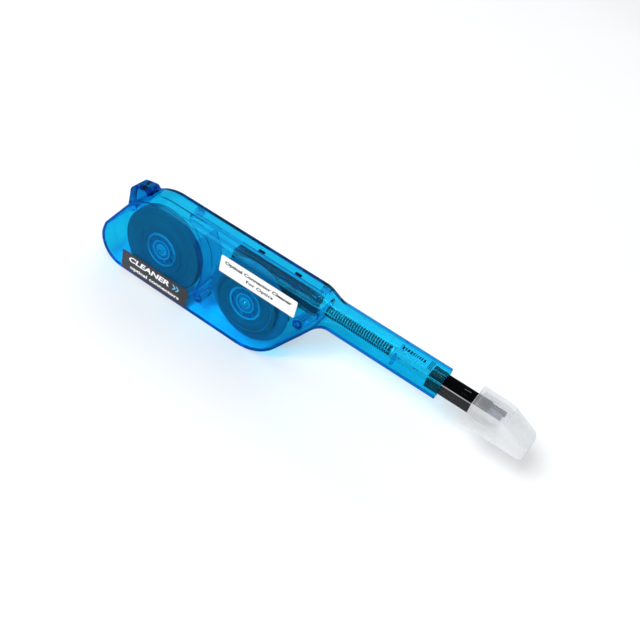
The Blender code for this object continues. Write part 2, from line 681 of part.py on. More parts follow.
def tip_head(axis, look):
    """The head that presses the tape on the connector, with a rounded tongue."""
    block = rectangle(-HEAD_HALF_Y, HEAD_HALF_Y, AXIS_Z - HEAD_HALF_Z, AXIS_Z + HEAD_HALF_Z)
    made = prism("tip_head", block, HEAD_REAR, HEAD_SHOULDER, "X", look)
    low, high = AXIS_Z - TONGUE_HALF_Z, AXIS_Z + TONGUE_HALF_Z
    tongue = [
        (HEAD_SHOULDER - 0.001, low, 0.0), (HEAD_END, low, 0.0008),
        (HEAD_END, high, 0.0008), (HEAD_SHOULDER - 0.001, high, 0.0),
    ]
    combine(made, "UNION", [prism("head_tongue", rounded(tongue, 4), -TONGUE_HALF_Y, TONGUE_HALF_Y)])
    return origin_at(made, (0.0, 0.0, AXIS_Z), axis)


# Tape

def neck_run(z):
    """The stretch of a strand in the nose. It crosses the rod's line and runs beside it to the tube."""
    return [
        (0.0240, STRAND_Y - 0.0011, z), (0.0290, STRAND_Y, z), (0.0540, STRAND_Y, z),
        (0.0600, STRAND_Y / 3, z),
    ]


def feed_route():
    """From the top of the supply roll, over the take-up reel and along the nose to the tube."""
    middle = (TAPE_NEAR + TAPE_FAR) / 2
    start = SUPPLY_Z + SUPPLY_ROLL + 0.0001 + TAPE_THICKNESS / 2
    route = [
        (SUPPLY_X, middle, start), (-0.0400, middle, start), (0.0010, middle, start),
        (0.0060, middle + 0.0004, start - 0.0004), (0.0120, middle + 0.0024, STRAND_TOP_Z + 0.0003),
        (0.0180, middle + 0.0046, STRAND_TOP_Z),
    ]
    end = (TUBE_REAR - 0.0007, 0.0, AXIS_Z + TUBE_STRAND_OFFSET)
    return route + neck_run(STRAND_TOP_Z) + [end]


def return_route():
    """From the top of the take-up roll along the nose to the tube."""
    middle = (TAPE_NEAR + TAPE_FAR) / 2
    start = TAKEUP_Z + TAKEUP_ROLL + 0.0001 + TAPE_THICKNESS / 2
    route = [
        (TAKEUP_X, middle, start), (-0.0100, middle, start - 0.0009), (0.0010, middle, 0.0413),
        (0.0060, middle + 0.0004, 0.0409), (0.0120, middle + 0.0024, STRAND_LOW_Z + 0.0003),
        (0.0180, middle + 0.0046, STRAND_LOW_Z),
    ]
    end = (TUBE_REAR - 0.0007, 0.0, AXIS_Z - TUBE_STRAND_OFFSET)
    return route + neck_run(STRAND_LOW_Z) + [end]


def tip_route(steps=6):
    """Out through the tube, round the front of the tongue and back."""
    leg = TUBE_STRAND_OFFSET
    wrap = TONGUE_HALF_Z + 0.0001 + TAPE_THICKNESS / 2
    upper = [(TUBE_REAR + 0.0020, 0.0, AXIS_Z + leg), (HEAD_SHOULDER, 0.0, AXIS_Z + leg)]
    upper.append((0.0965, 0.0, AXIS_Z + wrap))
    corner = 0.0010
    front = HEAD_END + 0.0001 + TAPE_THICKNESS / 2
    arc = []
    for step in range(steps + 1):
        angle = pi / 2 * (1 - step / steps)
        across, up = corner * cos(angle), corner * sin(angle)
        arc.append((front - corner + across, 0.0, AXIS_Z + wrap - corner + up))
    half = upper + arc
    return half + [(x, y, 2 * AXIS_Z - z) for x, y, z in reversed(half)]


# Cap and labels

def cap_block(name, rear, inset_by, look=None):
    """The cap's outer form, with every surface but the rear one moved inwards."""
    low, half_y = CAP_LOW + inset_by, CAP_HALF_Y - inset_by
    outline = [
        (CAP_REAR, CAP_LOW, 0.0),
        (HALF_LENGTH, CAP_LOW, CAP_CHIN),
        (HALF_LENGTH, CAP_SLOPE_END, CAP_LIP),
        (CAP_SLOPE_START, CAP_TOP, CAP_BROW),
        (CAP_REAR, CAP_TOP, 0.0),
    ]
    side = inset(outline, inset_by)
    side[0] = (rear, side[0][1], 0.0)
    side[-1] = (rear, side[-1][1], 0.0)
    front, high = side[1][0], side[-1][1]
    cheek = max(CAP_CHEEK - inset_by, 0.0005)
    behind = rear - 0.001
    plan = [(behind, -half_y, 0.0), (front, -half_y, cheek), (front, half_y, cheek), (behind, half_y, 0.0)]
    made = prism(name, rounded(side, 8), -half_y - 0.001, half_y + 0.001, look=look)
    above = prism(name + "_plan", rounded(plan, 5), low - 0.001, high + 0.001, "Z")
    return combine(made, "INTERSECT", [above])


def dust_cap(axis, look):
    made = cap_block("dust_cap", CAP_REAR, 0.0, look)
    hollow = cap_block("cap_hollow", CAP_REAR + 0.0016, CAP_WALL)
    half_y, half_z = TUBE_HALF_Y + CAP_MOUTH_GAP, TUBE_HALF_Z + CAP_MOUTH_GAP
    mouth = rectangle(-half_y, half_y, AXIS_Z - half_z, AXIS_Z + half_z)
    entry = prism("cap_entry", mouth, CAP_REAR - OVERSHOOT, CAP_REAR + OVERSHOOT, "X")
    combine(made, "DIFFERENCE", [hollow])
    combine(made, "DIFFERENCE", [entry])
    return origin_at(made, (0.0, 0.0, AXIS_Z), axis)


def label(name, low_x, high_x, low_z, high_z, radius, look):
    corners = [(x, z, radius) for x, z in rectangle(low_x, high_x, low_z, high_z)]
    back = -HALF_THICKNESS + LABEL_STEP - 0.00003
    return prism(name, rounded(corners, 4), -HALF_THICKNESS, back, look=look)


def build():
    for old in list(bpy.data.objects):
        bpy.data.objects.remove(old)

    blue = material("clear_blue_plastic", (0.0, 0.42, 0.85), 0.12)
    black = material("black_plastic", (0.012, 0.012, 0.014), 0.22)
    slate = material("slate_tape", (0.06, 0.09, 0.12), 0.75)
    hub_blue = material("reel_plastic", (0.02, 0.16, 0.34), 0.35)
    steel = material("steel", (0.62, 0.62, 0.64), 0.28, 1.0)
    spring_steel = material("spring_steel", (0.20, 0.20, 0.22), 0.30, 1.0)
    acetal = material("acetal", (0.55, 0.58, 0.60), 0.45)
    grey = material("grey_plastic", (0.20, 0.24, 0.28), 0.40)
    frosted = material("frosted_plastic", (0.86, 0.88, 0.90), 0.35)
    white_paper = material("white_label", (0.90, 0.89, 0.90), 0.55)
    dark_paper = material("charcoal_label", (0.05, 0.045, 0.05), 0.50)

    plunger_axis = axis_empty("plunger_axis", (0.0, 0.0, AXIS_Z))
    supply_axis = axis_empty("supply_axis", (SUPPLY_X, 0.0, SUPPLY_Z))
    takeup_axis = axis_empty("takeup_axis", (TAKEUP_X, 0.0, TAKEUP_Z))

    shell("near_shell", -1, blue)
    shell("far_shell", 1, blue)
    for place in SCREWS:
        screw(place, steel)

    supply = [
        reel("supply_reel", SUPPLY_X, SUPPLY_Z, SUPPLY_FLANGE, -0.0029, hub_blue),
        tape_roll("supply_tape_roll", SUPPLY_X, SUPPLY_Z, SUPPLY_ROLL, slate),
    ]
    takeup = [
        reel("takeup_reel", TAKEUP_X, TAKEUP_Z, TAKEUP_FLANGE, -0.0002, hub_blue),
        tape_roll("takeup_tape_roll", TAKEUP_X, TAKEUP_Z, TAKEUP_ROLL, slate),
        ratchet_wheel(acetal),
        drive_gear(acetal),
        pawl_ring(spring_steel),
    ]
    for pieces, axis in ((supply, supply_axis), (takeup, takeup_axis)):
        for piece in pieces:
            piece.parent = axis
            piece.location = (0.0, 0.0, 0.0)
    axle("supply_axle", SUPPLY_X, SUPPLY_Z, steel)
    axle("takeup_axle", TAKEUP_X, TAKEUP_Z, steel)
    washer = [(0.0022, -0.0028), (0.0055, -0.0028), (0.0055, -0.0024), (0.0022, -0.0024)]
    brake = smooth(lathe("supply_brake_washer", washer, spring_steel, 28))
    brake.location = (SUPPLY_X, 0.0, SUPPLY_Z)
    backstop_pawl(spring_steel)

    slider(plunger_axis, black)
    plunger_rod(plunger_axis, acetal)
    nose_tube(plunger_axis, black)
    tip_head(plunger_axis, grey)
    coil("return_spring", SPRING_REAR, SPRING_FRONT, SPRING_RADIUS, SPRING_WIRE, SPRING_TURNS, spring_steel)
    coil(
        "head_spring", HEAD_SPRING_REAR, HEAD_SPRING_FRONT, HEAD_SPRING_RADIUS, HEAD_SPRING_WIRE,
        HEAD_SPRING_TURNS, spring_steel, 8,
    )
    tape_width = TAPE_FAR - TAPE_NEAR - 0.0002
    ribbon("feed_tape", feed_route(), tape_width, TAPE_THICKNESS, slate)
    ribbon("return_tape", return_route(), tape_width, TAPE_THICKNESS, slate)
    origin_at(
        ribbon("tip_tape", tip_route(), tape_width, TAPE_THICKNESS, slate), (0.0, 0.0, AXIS_Z), plunger_axis
    )

    dust_cap(plunger_axis, frosted)
    label("white_label", *WHITE_LABEL, white_paper)
    label("dark_label", *DARK_LABEL, dark_paper)


build()
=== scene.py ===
"""The looks of a push-to-clean pen for optical connector faces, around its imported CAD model.

Metres, +Z up, in the CAD model's frame: +X towards the tip, the labelled side towards -Y, and the
floor at Z = 0.
"""

from math import acos, atan2, cos, pi, radians, sin, tan
from random import Random

import bmesh
import bpy
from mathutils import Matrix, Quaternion, Vector


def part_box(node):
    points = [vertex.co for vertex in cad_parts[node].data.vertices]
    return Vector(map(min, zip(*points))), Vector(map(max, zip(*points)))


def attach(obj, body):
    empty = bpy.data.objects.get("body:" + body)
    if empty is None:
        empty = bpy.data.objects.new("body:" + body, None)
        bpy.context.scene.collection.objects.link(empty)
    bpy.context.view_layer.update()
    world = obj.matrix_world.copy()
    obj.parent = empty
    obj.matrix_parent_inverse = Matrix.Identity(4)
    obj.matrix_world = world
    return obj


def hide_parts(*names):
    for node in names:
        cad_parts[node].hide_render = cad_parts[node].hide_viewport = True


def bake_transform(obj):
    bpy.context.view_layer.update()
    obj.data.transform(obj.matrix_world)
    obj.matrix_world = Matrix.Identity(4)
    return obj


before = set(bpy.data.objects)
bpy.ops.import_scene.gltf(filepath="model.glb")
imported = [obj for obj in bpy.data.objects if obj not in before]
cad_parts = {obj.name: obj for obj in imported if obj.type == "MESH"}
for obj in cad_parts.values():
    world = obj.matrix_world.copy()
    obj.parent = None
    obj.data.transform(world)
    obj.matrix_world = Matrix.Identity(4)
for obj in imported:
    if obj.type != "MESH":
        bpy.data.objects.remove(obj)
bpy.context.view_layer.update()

MM = 0.001

# The camera of the reference view
CAMERA_PLACE = Vector((0.112747, -0.266201, 0.288872))
CAMERA_AIM = Vector((0.011671, -0.008238, 0.043640))
CAMERA_ROLL = radians(18.03)
CAMERA_LENS = 46.72

# Casing outline: x, z and corner radius in mm, anticlockwise seen from the near side
BODY_TOP, NOSE_TOP, NOSE_LOW = 49.5, 48.0, 38.7
REAR, NOSE_END = -116.75, 72.25
RAMP_START, RAMP_END = 4.25, 15.25
OUTLINE = (
    (RAMP_END, NOSE_TOP, 12.0), (3.75, BODY_TOP, 12.0), (-95.45, BODY_TOP, 26.0),
    (-115.35, 21.0, 8.0), (REAR, 15.2, 9.0), (REAR, 0.0, 14.0), (-13.75, 0.0, 25.8),
    (11.45, NOSE_LOW, 9.0), (NOSE_END, NOSE_LOW, 0.5), (NOSE_END, NOSE_TOP, 0.5),
)
TAB_OUTLINE = (
    (-97.0, 41.0, 0.0), (-93.0, 47.8, 0.0), (-95.7, 50.0, 1.5), (-104.5, 48.2, 3.0),
    (-105.2, 35.5, 1.0), (-101.5, 34.0, 0.0),
)
TAB_HALF = 5.0
NEAR_FACE, FAR_FACE, NOSE_HALF = 8.85, 9.0, 6.46
RIM_WALL, FACE_WALL, SEAM = 1.2, 1.45, 0.06
TOP_SLOTS, SLOT_HALF, SLOT_Y, SLOT_Z = (-31.1, -9.9), 1.7, (3.1, 4.3), (48.0, 52.0)
GROOVE_RADII = {"supply": (6.6, 8.4, 12.6), "takeup": (9.3, 11.0, 14.6)}
GROOVE_DEPTH, GROOVE_HALF = 0.55, 0.38
BOSS_RADIUS, PILOT_RADIUS, SHANK_RADIUS, HEAD_RADIUS, AXLE_HOLE = 2.6, 1.05, 1.25, 2.2, 1.6
SCREWS = {"rear": (-95.8, 5.5), "middle": (-53.8, 11.0), "front": (1.5, 33.0)}


# Small helpers

def centre_of(node):
    low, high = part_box(node)
    return (low + high) / 2 / MM


AXIS_Z = centre_of("tip_head").z
SUPPLY = centre_of("supply_tape_roll")
TAKEUP = centre_of("takeup_tape_roll")
REELS = {"supply": SUPPLY, "takeup": TAKEUP}


def corner_arc(before, corner, after, radius, steps):
    """The points of a rounded corner."""
    point = Vector(corner)
    back = (Vector(before) - point).normalized()
    ahead = (Vector(after) - point).normalized()
    angle = acos(max(-1.0, min(1.0, back.dot(ahead))))
    centre = point + (back + ahead).normalized() * radius / sin(angle / 2)
    reach = radius / tan(angle / 2)
    first = point + back * reach - centre
    last = point + ahead * reach - centre
    start = atan2(first.y, first.x)
    turn = (atan2(last.y, last.x) - start + pi) % (2 * pi) - pi
    angles = [start + turn * step / steps for step in range(steps + 1)]
    return [(centre.x + radius * cos(a), centre.y + radius * sin(a)) for a in angles]


def rounded(corners, steps=8):
    """A closed outline of corners (u, v, radius), with each radius as an arc."""
    points = []
    for index, (u, v, radius) in enumerate(corners):
        if radius == 0.0:
            points.append((u, v))
            continue
        before = corners[index - 1][:2]
        after = corners[(index + 1) % len(corners)][:2]
        own = steps if radius > 2 else max(3, steps // 3)
        points += corner_arc(before, (u, v), after, radius, own)
    return points


def inset(corners, distance):
    """The same corners moved inwards, for an outline that runs anticlockwise."""
    moved = []
    for index, (u, v, radius) in enumerate(corners):
        before = Vector(corners[index - 1][:2])
        corner = Vector((u, v))
        after = Vector(corners[(index + 1) % len(corners)][:2])
        back = (corner - before).normalized()
        ahead = (after - corner).normalized()
        turn = back.x * ahead.y - back.y * ahead.x
        inward = Vector((-back.y, back.x)) + Vector((-ahead.y, ahead.x))
        corner += inward * distance / (1 + back.dot(ahead))
        moved.append((corner.x, corner.y, max(radius - distance if turn > 0 else radius + distance, 0.3)))
    return moved


def rectangle(u0, u1, v0, v1, radius=0.0):
    return [(u0, v0, radius), (u1, v0, radius), (u1, v1, radius), (u0, v1, radius)]


def circle(u, v, radius, steps=40):
    angles = [2 * pi * step / steps for step in range(steps)]
    return [(u + radius * cos(a), v + radius * sin(a)) for a in angles]


def linked(name, data):
    """A new object in the scene, for a mesh, a text, a light or a camera."""
    made = bpy.data.objects.new(name, data)
    bpy.context.scene.collection.objects.link(made)
    return made


def to_object(name, shape):
    """Sizes in the mesh code are in mm, and the object's are in metres."""
    bmesh.ops.scale(shape, vec=(MM, MM, MM), verts=shape.verts)
    bmesh.ops.recalc_face_normals(shape, faces=shape.faces)
    if shape.calc_volume(signed=True) < 0:
        bmesh.ops.reverse_faces(shape, faces=shape.faces)
    mesh = bpy.data.meshes.new(name)
    shape.to_mesh(mesh)
    shape.free()
    return linked(name, mesh)


def raise_face(shape, points, step):
    """Adds a face through the points and extrudes it by a step."""
    base = shape.faces.new([shape.verts.new(point) for point in points])
    raised = bmesh.ops.extrude_face_region(shape, geom=[base])
    tops = [item for item in raised["geom"] if isinstance(item, bmesh.types.BMVert)]
    bmesh.ops.translate(shape, verts=tops, vec=step)


def skin(name, shape, rings):
    """Joins each ring of points to the next, and closes both ends."""
    for here, there in zip(rings, rings[1:]):
        for index in range(len(here)):
            after = (index + 1) % len(here)
            shape.faces.new((here[index], here[after], there[after], there[index]))
    shape.faces.new(rings[0])
    shape.faces.new(rings[-1])
    return to_object(name, shape)


def prism(name, outline, low, high, along="Y"):
    """An outline extruded along an axis: (x, z) along Y, (x, y) along Z, (y, z) along X."""
    place = {
        "X": lambda u, v, w: (w, u, v),
        "Y": lambda u, v, w: (u, w, v),
        "Z": lambda u, v, w: (u, v, w),
    }[along]
    shape = bmesh.new()
    step = Vector(place(0.0, 0.0, high)) - Vector(place(0.0, 0.0, low))
    raise_face(shape, [place(point[0], point[1], low) for point in outline], step)
    return to_object(name, shape)


def box(name, x, y, z):
    """A block between two values on each axis."""
    return prism(name, rectangle(x[0], x[1], z[0], z[1]), y[0], y[1])


def disc(name, x, z, radius, low, high, steps=40):
    return prism(name, circle(x, z, radius, steps), low, high)


def lathe(name, profile, centre, steps=96, ripple=None):
    """A closed profile of (radius, y) turned about the Y axis through centre, in mm."""
    shape = bmesh.new()
    rings = []
    for step in range(steps):
        angle = 2 * pi * step / steps
        ring = []
        for radius, y in profile:
            own = radius + (ripple(angle, radius) if ripple else 0.0)
            ring.append(shape.verts.new((centre[0] + own * cos(angle), y, centre[1] + own * sin(angle))))
        rings.append(ring)
    for step in range(steps):
        here, there = rings[step], rings[(step + 1) % steps]
        for index in range(len(profile)):
            after = (index + 1) % len(profile)
            shape.faces.new((here[index], there[index], there[after], here[after]))
    return to_object(name, shape)


def sweep(name, route, section):
    """A section of (sideways, up) points carried along a route of (x, y, z), in mm."""
    shape = bmesh.new()
    rings = []
    for index, here in enumerate(route):
        before = Vector(route[max(index - 1, 0)])
        after = Vector(route[min(index + 1, len(route) - 1)])
        run = (after - before).normalized()
        up = Vector((-run.z, 0.0, run.x)).normalized()
        side = Vector((0.0, 1.0, 0.0))
        rings.append([shape.verts.new(Vector(here) + side * u + up * v) for u, v in section])
    return skin(name, shape, rings)


def smooth_route(points, share=6):
    """A Catmull-Rom curve through the points of a route."""
    route = []
    ends = [points[0]] + list(points) + [points[-1]]
    for index in range(1, len(ends) - 2):
        p0, p1, p2, p3 = (Vector(ends[index + step]) for step in (-1, 0, 1, 2))
        for step in range(share):
            t = step / share
            route.append(
                0.5 * (2 * p1 + (p2 - p0) * t + (2 * p0 - 5 * p1 + 4 * p2 - p3) * t * t
                       + (3 * p1 - p0 - 3 * p2 + p3) * t * t * t)
            )
    route.append(Vector(points[-1]))
    return route


def evaluated_mesh(made):
    graph = bpy.context.evaluated_depsgraph_get()
    return bpy.data.meshes.new_from_object(made.evaluated_get(graph))


def applied(made):
    """Applies the object's modifiers to its mesh."""
    mesh = evaluated_mesh(made)
    made.modifiers.clear()
    made.data = mesh
    return made


def combine(made, operation, others):
    """Adds, cuts or keeps what the object shares with the others, and removes them."""
    others = list(others)
    for other in others:
        step = made.modifiers.new(operation.title(), "BOOLEAN")
        step.operation = operation
        step.solver = "EXACT"
        step.object = other
    applied(made)
    for other in others:
        bpy.data.objects.remove(other)
    return made


def eased(made, width, segments=3, angle=35):
    """Rounds the sharp edges, with the width in mm."""
    step = made.modifiers.new("Edges", "BEVEL")
    step.width = width * MM
    step.segments = segments
    step.limit_method = "ANGLE"
    step.angle_limit = radians(angle)
    step.use_clamp_overlap = True
    return applied(made)


def smooth(made, angle=35):
    made.data.shade_smooth()
    made.data.set_sharp_from_angle(angle=radians(angle))
    return made


def finish(made, look, body, slot, nodes=(), angle=35):
    """Gives a piece its material and its body, and hides the CAD nodes it stands for. The slot is not used.
    """
    smooth(made, angle)
    made.data.materials.clear()
    made.data.materials.append(look)
    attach(made, body)
    if nodes:
        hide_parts(*nodes)
    return made


def repaint(made, look, chosen):
    """Gives a look to the polygons that pass a test on their centre, in mm, and their normal."""
    made.data.materials.append(look)
    last = len(made.data.materials) - 1
    for polygon in made.data.polygons:
        if chosen(polygon.center / MM, polygon.normal):
            polygon.material_index = last
    return made


# Materials

class Nodes:
    """A material's node tree, with short ways to add nodes."""

    def __init__(self, name):
        self.material = bpy.data.materials.new(name)
        self.material.use_nodes = True
        self.tree = self.material.node_tree
        self.tree.nodes.clear()
        self.output = self.add("OutputMaterial")
        self.place = self.add("TexCoord").outputs["Object"]

    def add(self, kind, inputs=None, **settings):
        """A new shader node with its settings, and with its inputs' values by name."""
        node = self.tree.nodes.new("ShaderNode" + kind)
        for name, value in settings.items():
            setattr(node, name, value)
        for name, value in (inputs or {}).items():
            node.inputs[name].default_value = value
        return node

    def link(self, source, target):
        self.tree.links.new(source, target)

    def feed(self, value, target):
        """Gives an input a number, a colour or another node's output."""
        if isinstance(value, tuple):
            target.default_value = (*value, 1.0)
        elif isinstance(value, (int, float)):
            target.default_value = value
        else:
            self.link(value, target)

    def stretched(self, scale):
        mapping = self.add("Mapping", {"Scale": scale})
        self.link(self.place, mapping.inputs["Vector"])
        return mapping.outputs["Vector"]

    def noise(self, scale, detail=3.0, roughness=0.5, vector=None):
        inputs = {"Scale": scale, "Detail": detail, "Roughness": roughness}
        node = self.add("TexNoise", inputs)
        self.link(vector or self.place, node.inputs["Vector"])
        return node.outputs["Fac"]

    def spread(self, source, low, high, from_low=0.3, from_high=0.7):
        """The source's values between from_low and from_high, moved to low and high."""
        inputs = {"From Min": from_low, "From Max": from_high, "To Min": low, "To Max": high}
        node = self.add("MapRange", inputs)
        self.link(source, node.inputs["Value"])
        return node.outputs["Result"]

    def maths(self, operation, first, second):
        node = self.add("Math", operation=operation)
        self.feed(first, node.inputs[0])
        self.feed(second, node.inputs[1])
        return node.outputs["Value"]

    def colours(self, factor, first, second):
        node = self.add("Mix", data_type="RGBA")
        for value, socket in zip((first, second), (item for item in node.inputs if item.type == "RGBA")):
            socket.default_value = (*value, 1.0)
        self.link(factor, node.inputs["Factor"])
        return [socket for socket in node.outputs if socket.type == "RGBA"][0]

    def tone(self, source, first, second):
        """A colour between the first and the second, by the source's usual values."""
        return self.colours(self.spread(source, 0.0, 1.0), first, second)

    def bump(self, height, strength, distance):
        node = self.add("Bump", {"Strength": strength, "Distance": distance})
        self.link(height, node.inputs["Height"])
        return node.outputs["Normal"]

    def mix(self, factor, first, second):
        node = self.add("MixShader")
        self.feed(factor, node.inputs[0])
        self.link(first, node.inputs[1])
        self.link(second, node.inputs[2])
        return node.outputs[0]

    def reflectance(self, normal=None):
        """How much the surface mirrors: little face on, and nearly all at a grazing angle."""
        weight = self.add("LayerWeight", {"Blend": 0.5})
        if normal:
            self.link(normal, weight.inputs["Normal"])
        rise = self.maths("POWER", weight.outputs["Facing"], 5.0)
        return self.maths("ADD", self.maths("MULTIPLY", rise, 0.80), 0.018)

    def principled(self, colour, roughness, metallic=0.0, normal=None, specular=0.5, coat=0.0):
        inputs = {"Metallic": metallic, "Specular IOR Level": specular, "Coat Weight": coat}
        node = self.add("BsdfPrincipled", {**inputs, "Coat Roughness": 0.08})
        for value, socket in ((colour, "Base Color"), (roughness, "Roughness"), (normal, "Normal")):
            if value is not None:
                self.feed(value, node.inputs[socket])
        return node.outputs["BSDF"]

    def surface(self, shader):
        self.link(shader, self.output.inputs["Surface"])
        return self.material


def moulded(name, colour, lighter, rough=(0.25, 0.42), grain=900.0, strength=0.12, coat=0.0, specular=0.5):
    """Moulded plastic: flow shading, fine grain and faint rubbed streaks."""
    nodes = Nodes(name)
    tone = nodes.tone(nodes.noise(60.0, 4.0), colour, lighter)
    streaks = nodes.noise(220.0, 5.0, 0.6, nodes.stretched((0.15, 1.0, 1.0)))
    roughness = nodes.spread(streaks, *rough)
    normal = nodes.bump(nodes.noise(grain, 2.0), strength, 0.0001)
    return nodes.surface(nodes.principled(tone, roughness, 0.0, normal, specular, coat))


def metal(name, colour, darker, rough=(0.18, 0.38)):
    """Drawn or turned steel with fine lines and slight stains."""
    nodes = Nodes(name)
    tone = nodes.tone(nodes.noise(300.0, 4.0), colour, darker)
    lines = nodes.noise(1500.0, 3.0, 0.6, nodes.stretched((1.0, 8.0, 1.0)))
    roughness = nodes.spread(lines, *rough)
    normal = nodes.bump(lines, 0.15, 0.00005)
    return nodes.surface(nodes.principled(tone, roughness, 1.0, normal))


def clear_shell(name, absorbed, density, index):
    """Clear coloured plastic that bends light, and darkens with the length of the path through it."""
    nodes = Nodes(name)
    rubbed = nodes.noise(60.0, 2.0, 0.4)
    normal = nodes.bump(nodes.noise(70.0, 2.0, 0.4), 0.03, 0.0006)
    tint = nodes.tone(nodes.noise(50.0, 3.0), (0.24, 0.86, 0.945), (0.32, 0.90, 0.965))
    through = nodes.add("BsdfRefraction", {"IOR": index, "Roughness": 0.0})
    nodes.link(tint, through.inputs["Color"])
    mirror = nodes.add("BsdfGlossy")
    nodes.link(nodes.spread(rubbed, 0.04, 0.08), mirror.inputs["Roughness"])
    inside = nodes.add("NewGeometry").outputs["Backfacing"]
    nodes.link(nodes.colours(inside, (0.14, 0.64, 1.0), (0.55, 0.93, 1.0)), mirror.inputs["Color"])
    share = nodes.add("Fresnel", {"IOR": index})
    for node in (through, mirror, share):
        nodes.link(normal, node.inputs["Normal"])
    plastic = nodes.mix(share.outputs[0], through.outputs[0], mirror.outputs[0])
    clear = nodes.add("BsdfTransparent", {"Color": (0.90, 0.92, 0.94, 1.0)})
    lamp = nodes.add("LightPath").outputs["Is Shadow Ray"]
    nodes.surface(nodes.mix(lamp, plastic, clear.outputs[0]))
    volume = nodes.add("VolumeAbsorption", {"Color": (*absorbed, 1.0), "Density": density})
    nodes.link(volume.outputs[0], nodes.output.inputs["Volume"])
    return nodes.material


def frosted(name, opaque, colour):
    """Translucent frosted plastic: part clear, part milky, with a spark-eroded grain."""
    nodes = Nodes(name)
    grain = nodes.noise(1600.0, 3.0, 0.6)
    normal = nodes.bump(grain, 0.25, 0.00012)
    clear = nodes.add("BsdfTransparent").outputs[0]
    shine = nodes.add("BsdfGlossy")
    nodes.link(nodes.spread(grain, 0.18, 0.34), shine.inputs["Roughness"])
    nodes.link(normal, shine.inputs["Normal"])
    film = nodes.mix(nodes.reflectance(normal), clear, shine.outputs[0])
    milk = nodes.add("BsdfDiffuse")
    through = nodes.add("BsdfTranslucent")
    tone = nodes.tone(nodes.noise(120.0, 4.0), colour, tuple(0.94 * value for value in colour))
    for shader in (milk, through):
        nodes.link(tone, shader.inputs["Color"])
        nodes.link(normal, shader.inputs["Normal"])
    body = nodes.mix(0.5, milk.outputs[0], through.outputs[0])
    amount = nodes.spread(nodes.noise(260.0, 4.0), opaque - 0.05, opaque + 0.05)
    return nodes.surface(nodes.mix(amount, film, body))


def tape_side(name, colour, lighter, centre):
    """The edge of wound tape: fine concentric turns, a little uneven."""
    nodes = Nodes(name)
    away = nodes.add("VectorMath", operation="SUBTRACT")
    nodes.link(nodes.place, away.inputs[0])
    away.inputs[1].default_value = (centre[0] * MM, 0.0, centre[2] * MM)
    flat = nodes.add("VectorMath", operation="MULTIPLY")
    nodes.link(away.outputs[0], flat.inputs[0])
    flat.inputs[1].default_value = (1.0, 0.0, 1.0)
    length = nodes.add("VectorMath", operation="LENGTH")
    nodes.link(flat.outputs[0], length.inputs[0])
    radius = length.outputs["Value"]
    turns = nodes.maths("SINE", nodes.maths("MULTIPLY", radius, 2 * pi / 0.00042), 0.0)
    ring = nodes.add("CombineXYZ")
    nodes.link(radius, ring.inputs["X"])
    bands = nodes.noise(1500.0, 3.0, 0.6, ring.outputs[0])
    lint = nodes.noise(900.0, 4.0)
    level = nodes.maths("ADD", nodes.maths("MULTIPLY", turns, 0.18), nodes.maths("MULTIPLY", bands, 0.9))
    tone = nodes.colours(nodes.spread(level, 0.0, 1.0, 0.2, 0.75), colour, lighter)
    height = nodes.maths("ADD", nodes.maths("MULTIPLY", turns, 0.5), nodes.maths("MULTIPLY", lint, 0.6))
    normal = nodes.bump(height, 0.5, 0.0001)
    return nodes.surface(nodes.principled(tone, nodes.spread(lint, 0.55, 0.85), 0.0, normal, 0.35))


def woven(name, colour, lighter):
    """Micro-fibre tape with a fine weave."""
    nodes = Nodes(name)
    warp = nodes.add("TexWave", wave_type="BANDS", bands_direction="X")
    weft = nodes.add("TexWave", wave_type="BANDS", bands_direction="Y")
    for wave in (warp, weft):
        wave.inputs["Scale"].default_value = 1400.0
        nodes.link(nodes.place, wave.inputs["Vector"])
    cloth = nodes.maths("MULTIPLY", warp.outputs["Fac"], weft.outputs["Fac"])
    fluff = nodes.spread(nodes.noise(500.0), -0.2, 0.3)
    tone = nodes.colours(nodes.maths("ADD", cloth, fluff), colour, lighter)
    normal = nodes.bump(cloth, 0.4, 0.0001)
    roughness = nodes.spread(cloth, 0.85, 0.65, 0.0, 1.0)
    return nodes.surface(nodes.principled(tone, roughness, 0.0, normal, 0.3))


def thin_cloth(name, colour, lighter, open_share):
    """One layer of the same cloth, thin enough to let light through its weave."""
    nodes = Nodes(name)
    fibres = nodes.noise(1100.0, 3.0, 0.6, nodes.stretched((0.3, 1.0, 1.0)))
    tone = nodes.tone(fibres, colour, lighter)
    normal = nodes.bump(fibres, 0.3, 0.0001)
    cloth = nodes.principled(tone, nodes.spread(fibres, 0.85, 0.65), 0.0, normal, 0.2)
    clear = nodes.add("BsdfTransparent").outputs[0]
    amount = nodes.spread(fibres, 1.0 - open_share - 0.08, 1.0 - open_share + 0.08)
    return nodes.surface(nodes.mix(amount, clear, cloth))


def printed(name, colour, other, rough=(0.42, 0.58)):
    """Label film or ink with a slight paper fibre."""
    nodes = Nodes(name)
    fibre = nodes.noise(1300.0, 4.0, 0.65, nodes.stretched((0.4, 1.0, 1.0)))
    tone = nodes.tone(fibre, colour, other)
    roughness = nodes.spread(nodes.noise(300.0, 3.0), *rough)
    normal = nodes.bump(fibre, 0.12, 0.00006)
    return nodes.surface(nodes.principled(tone, roughness, 0.0, normal, 0.45))


def floor_paper(name):
    nodes = Nodes(name)
    tone = nodes.tone(nodes.noise(6.0, 3.0), (0.93, 0.935, 0.94), (0.95, 0.955, 0.96))
    normal = nodes.bump(nodes.noise(700.0, 3.0), 0.05, 0.0001)
    return nodes.surface(nodes.principled(tone, 0.7, 0.0, normal, 0.2))


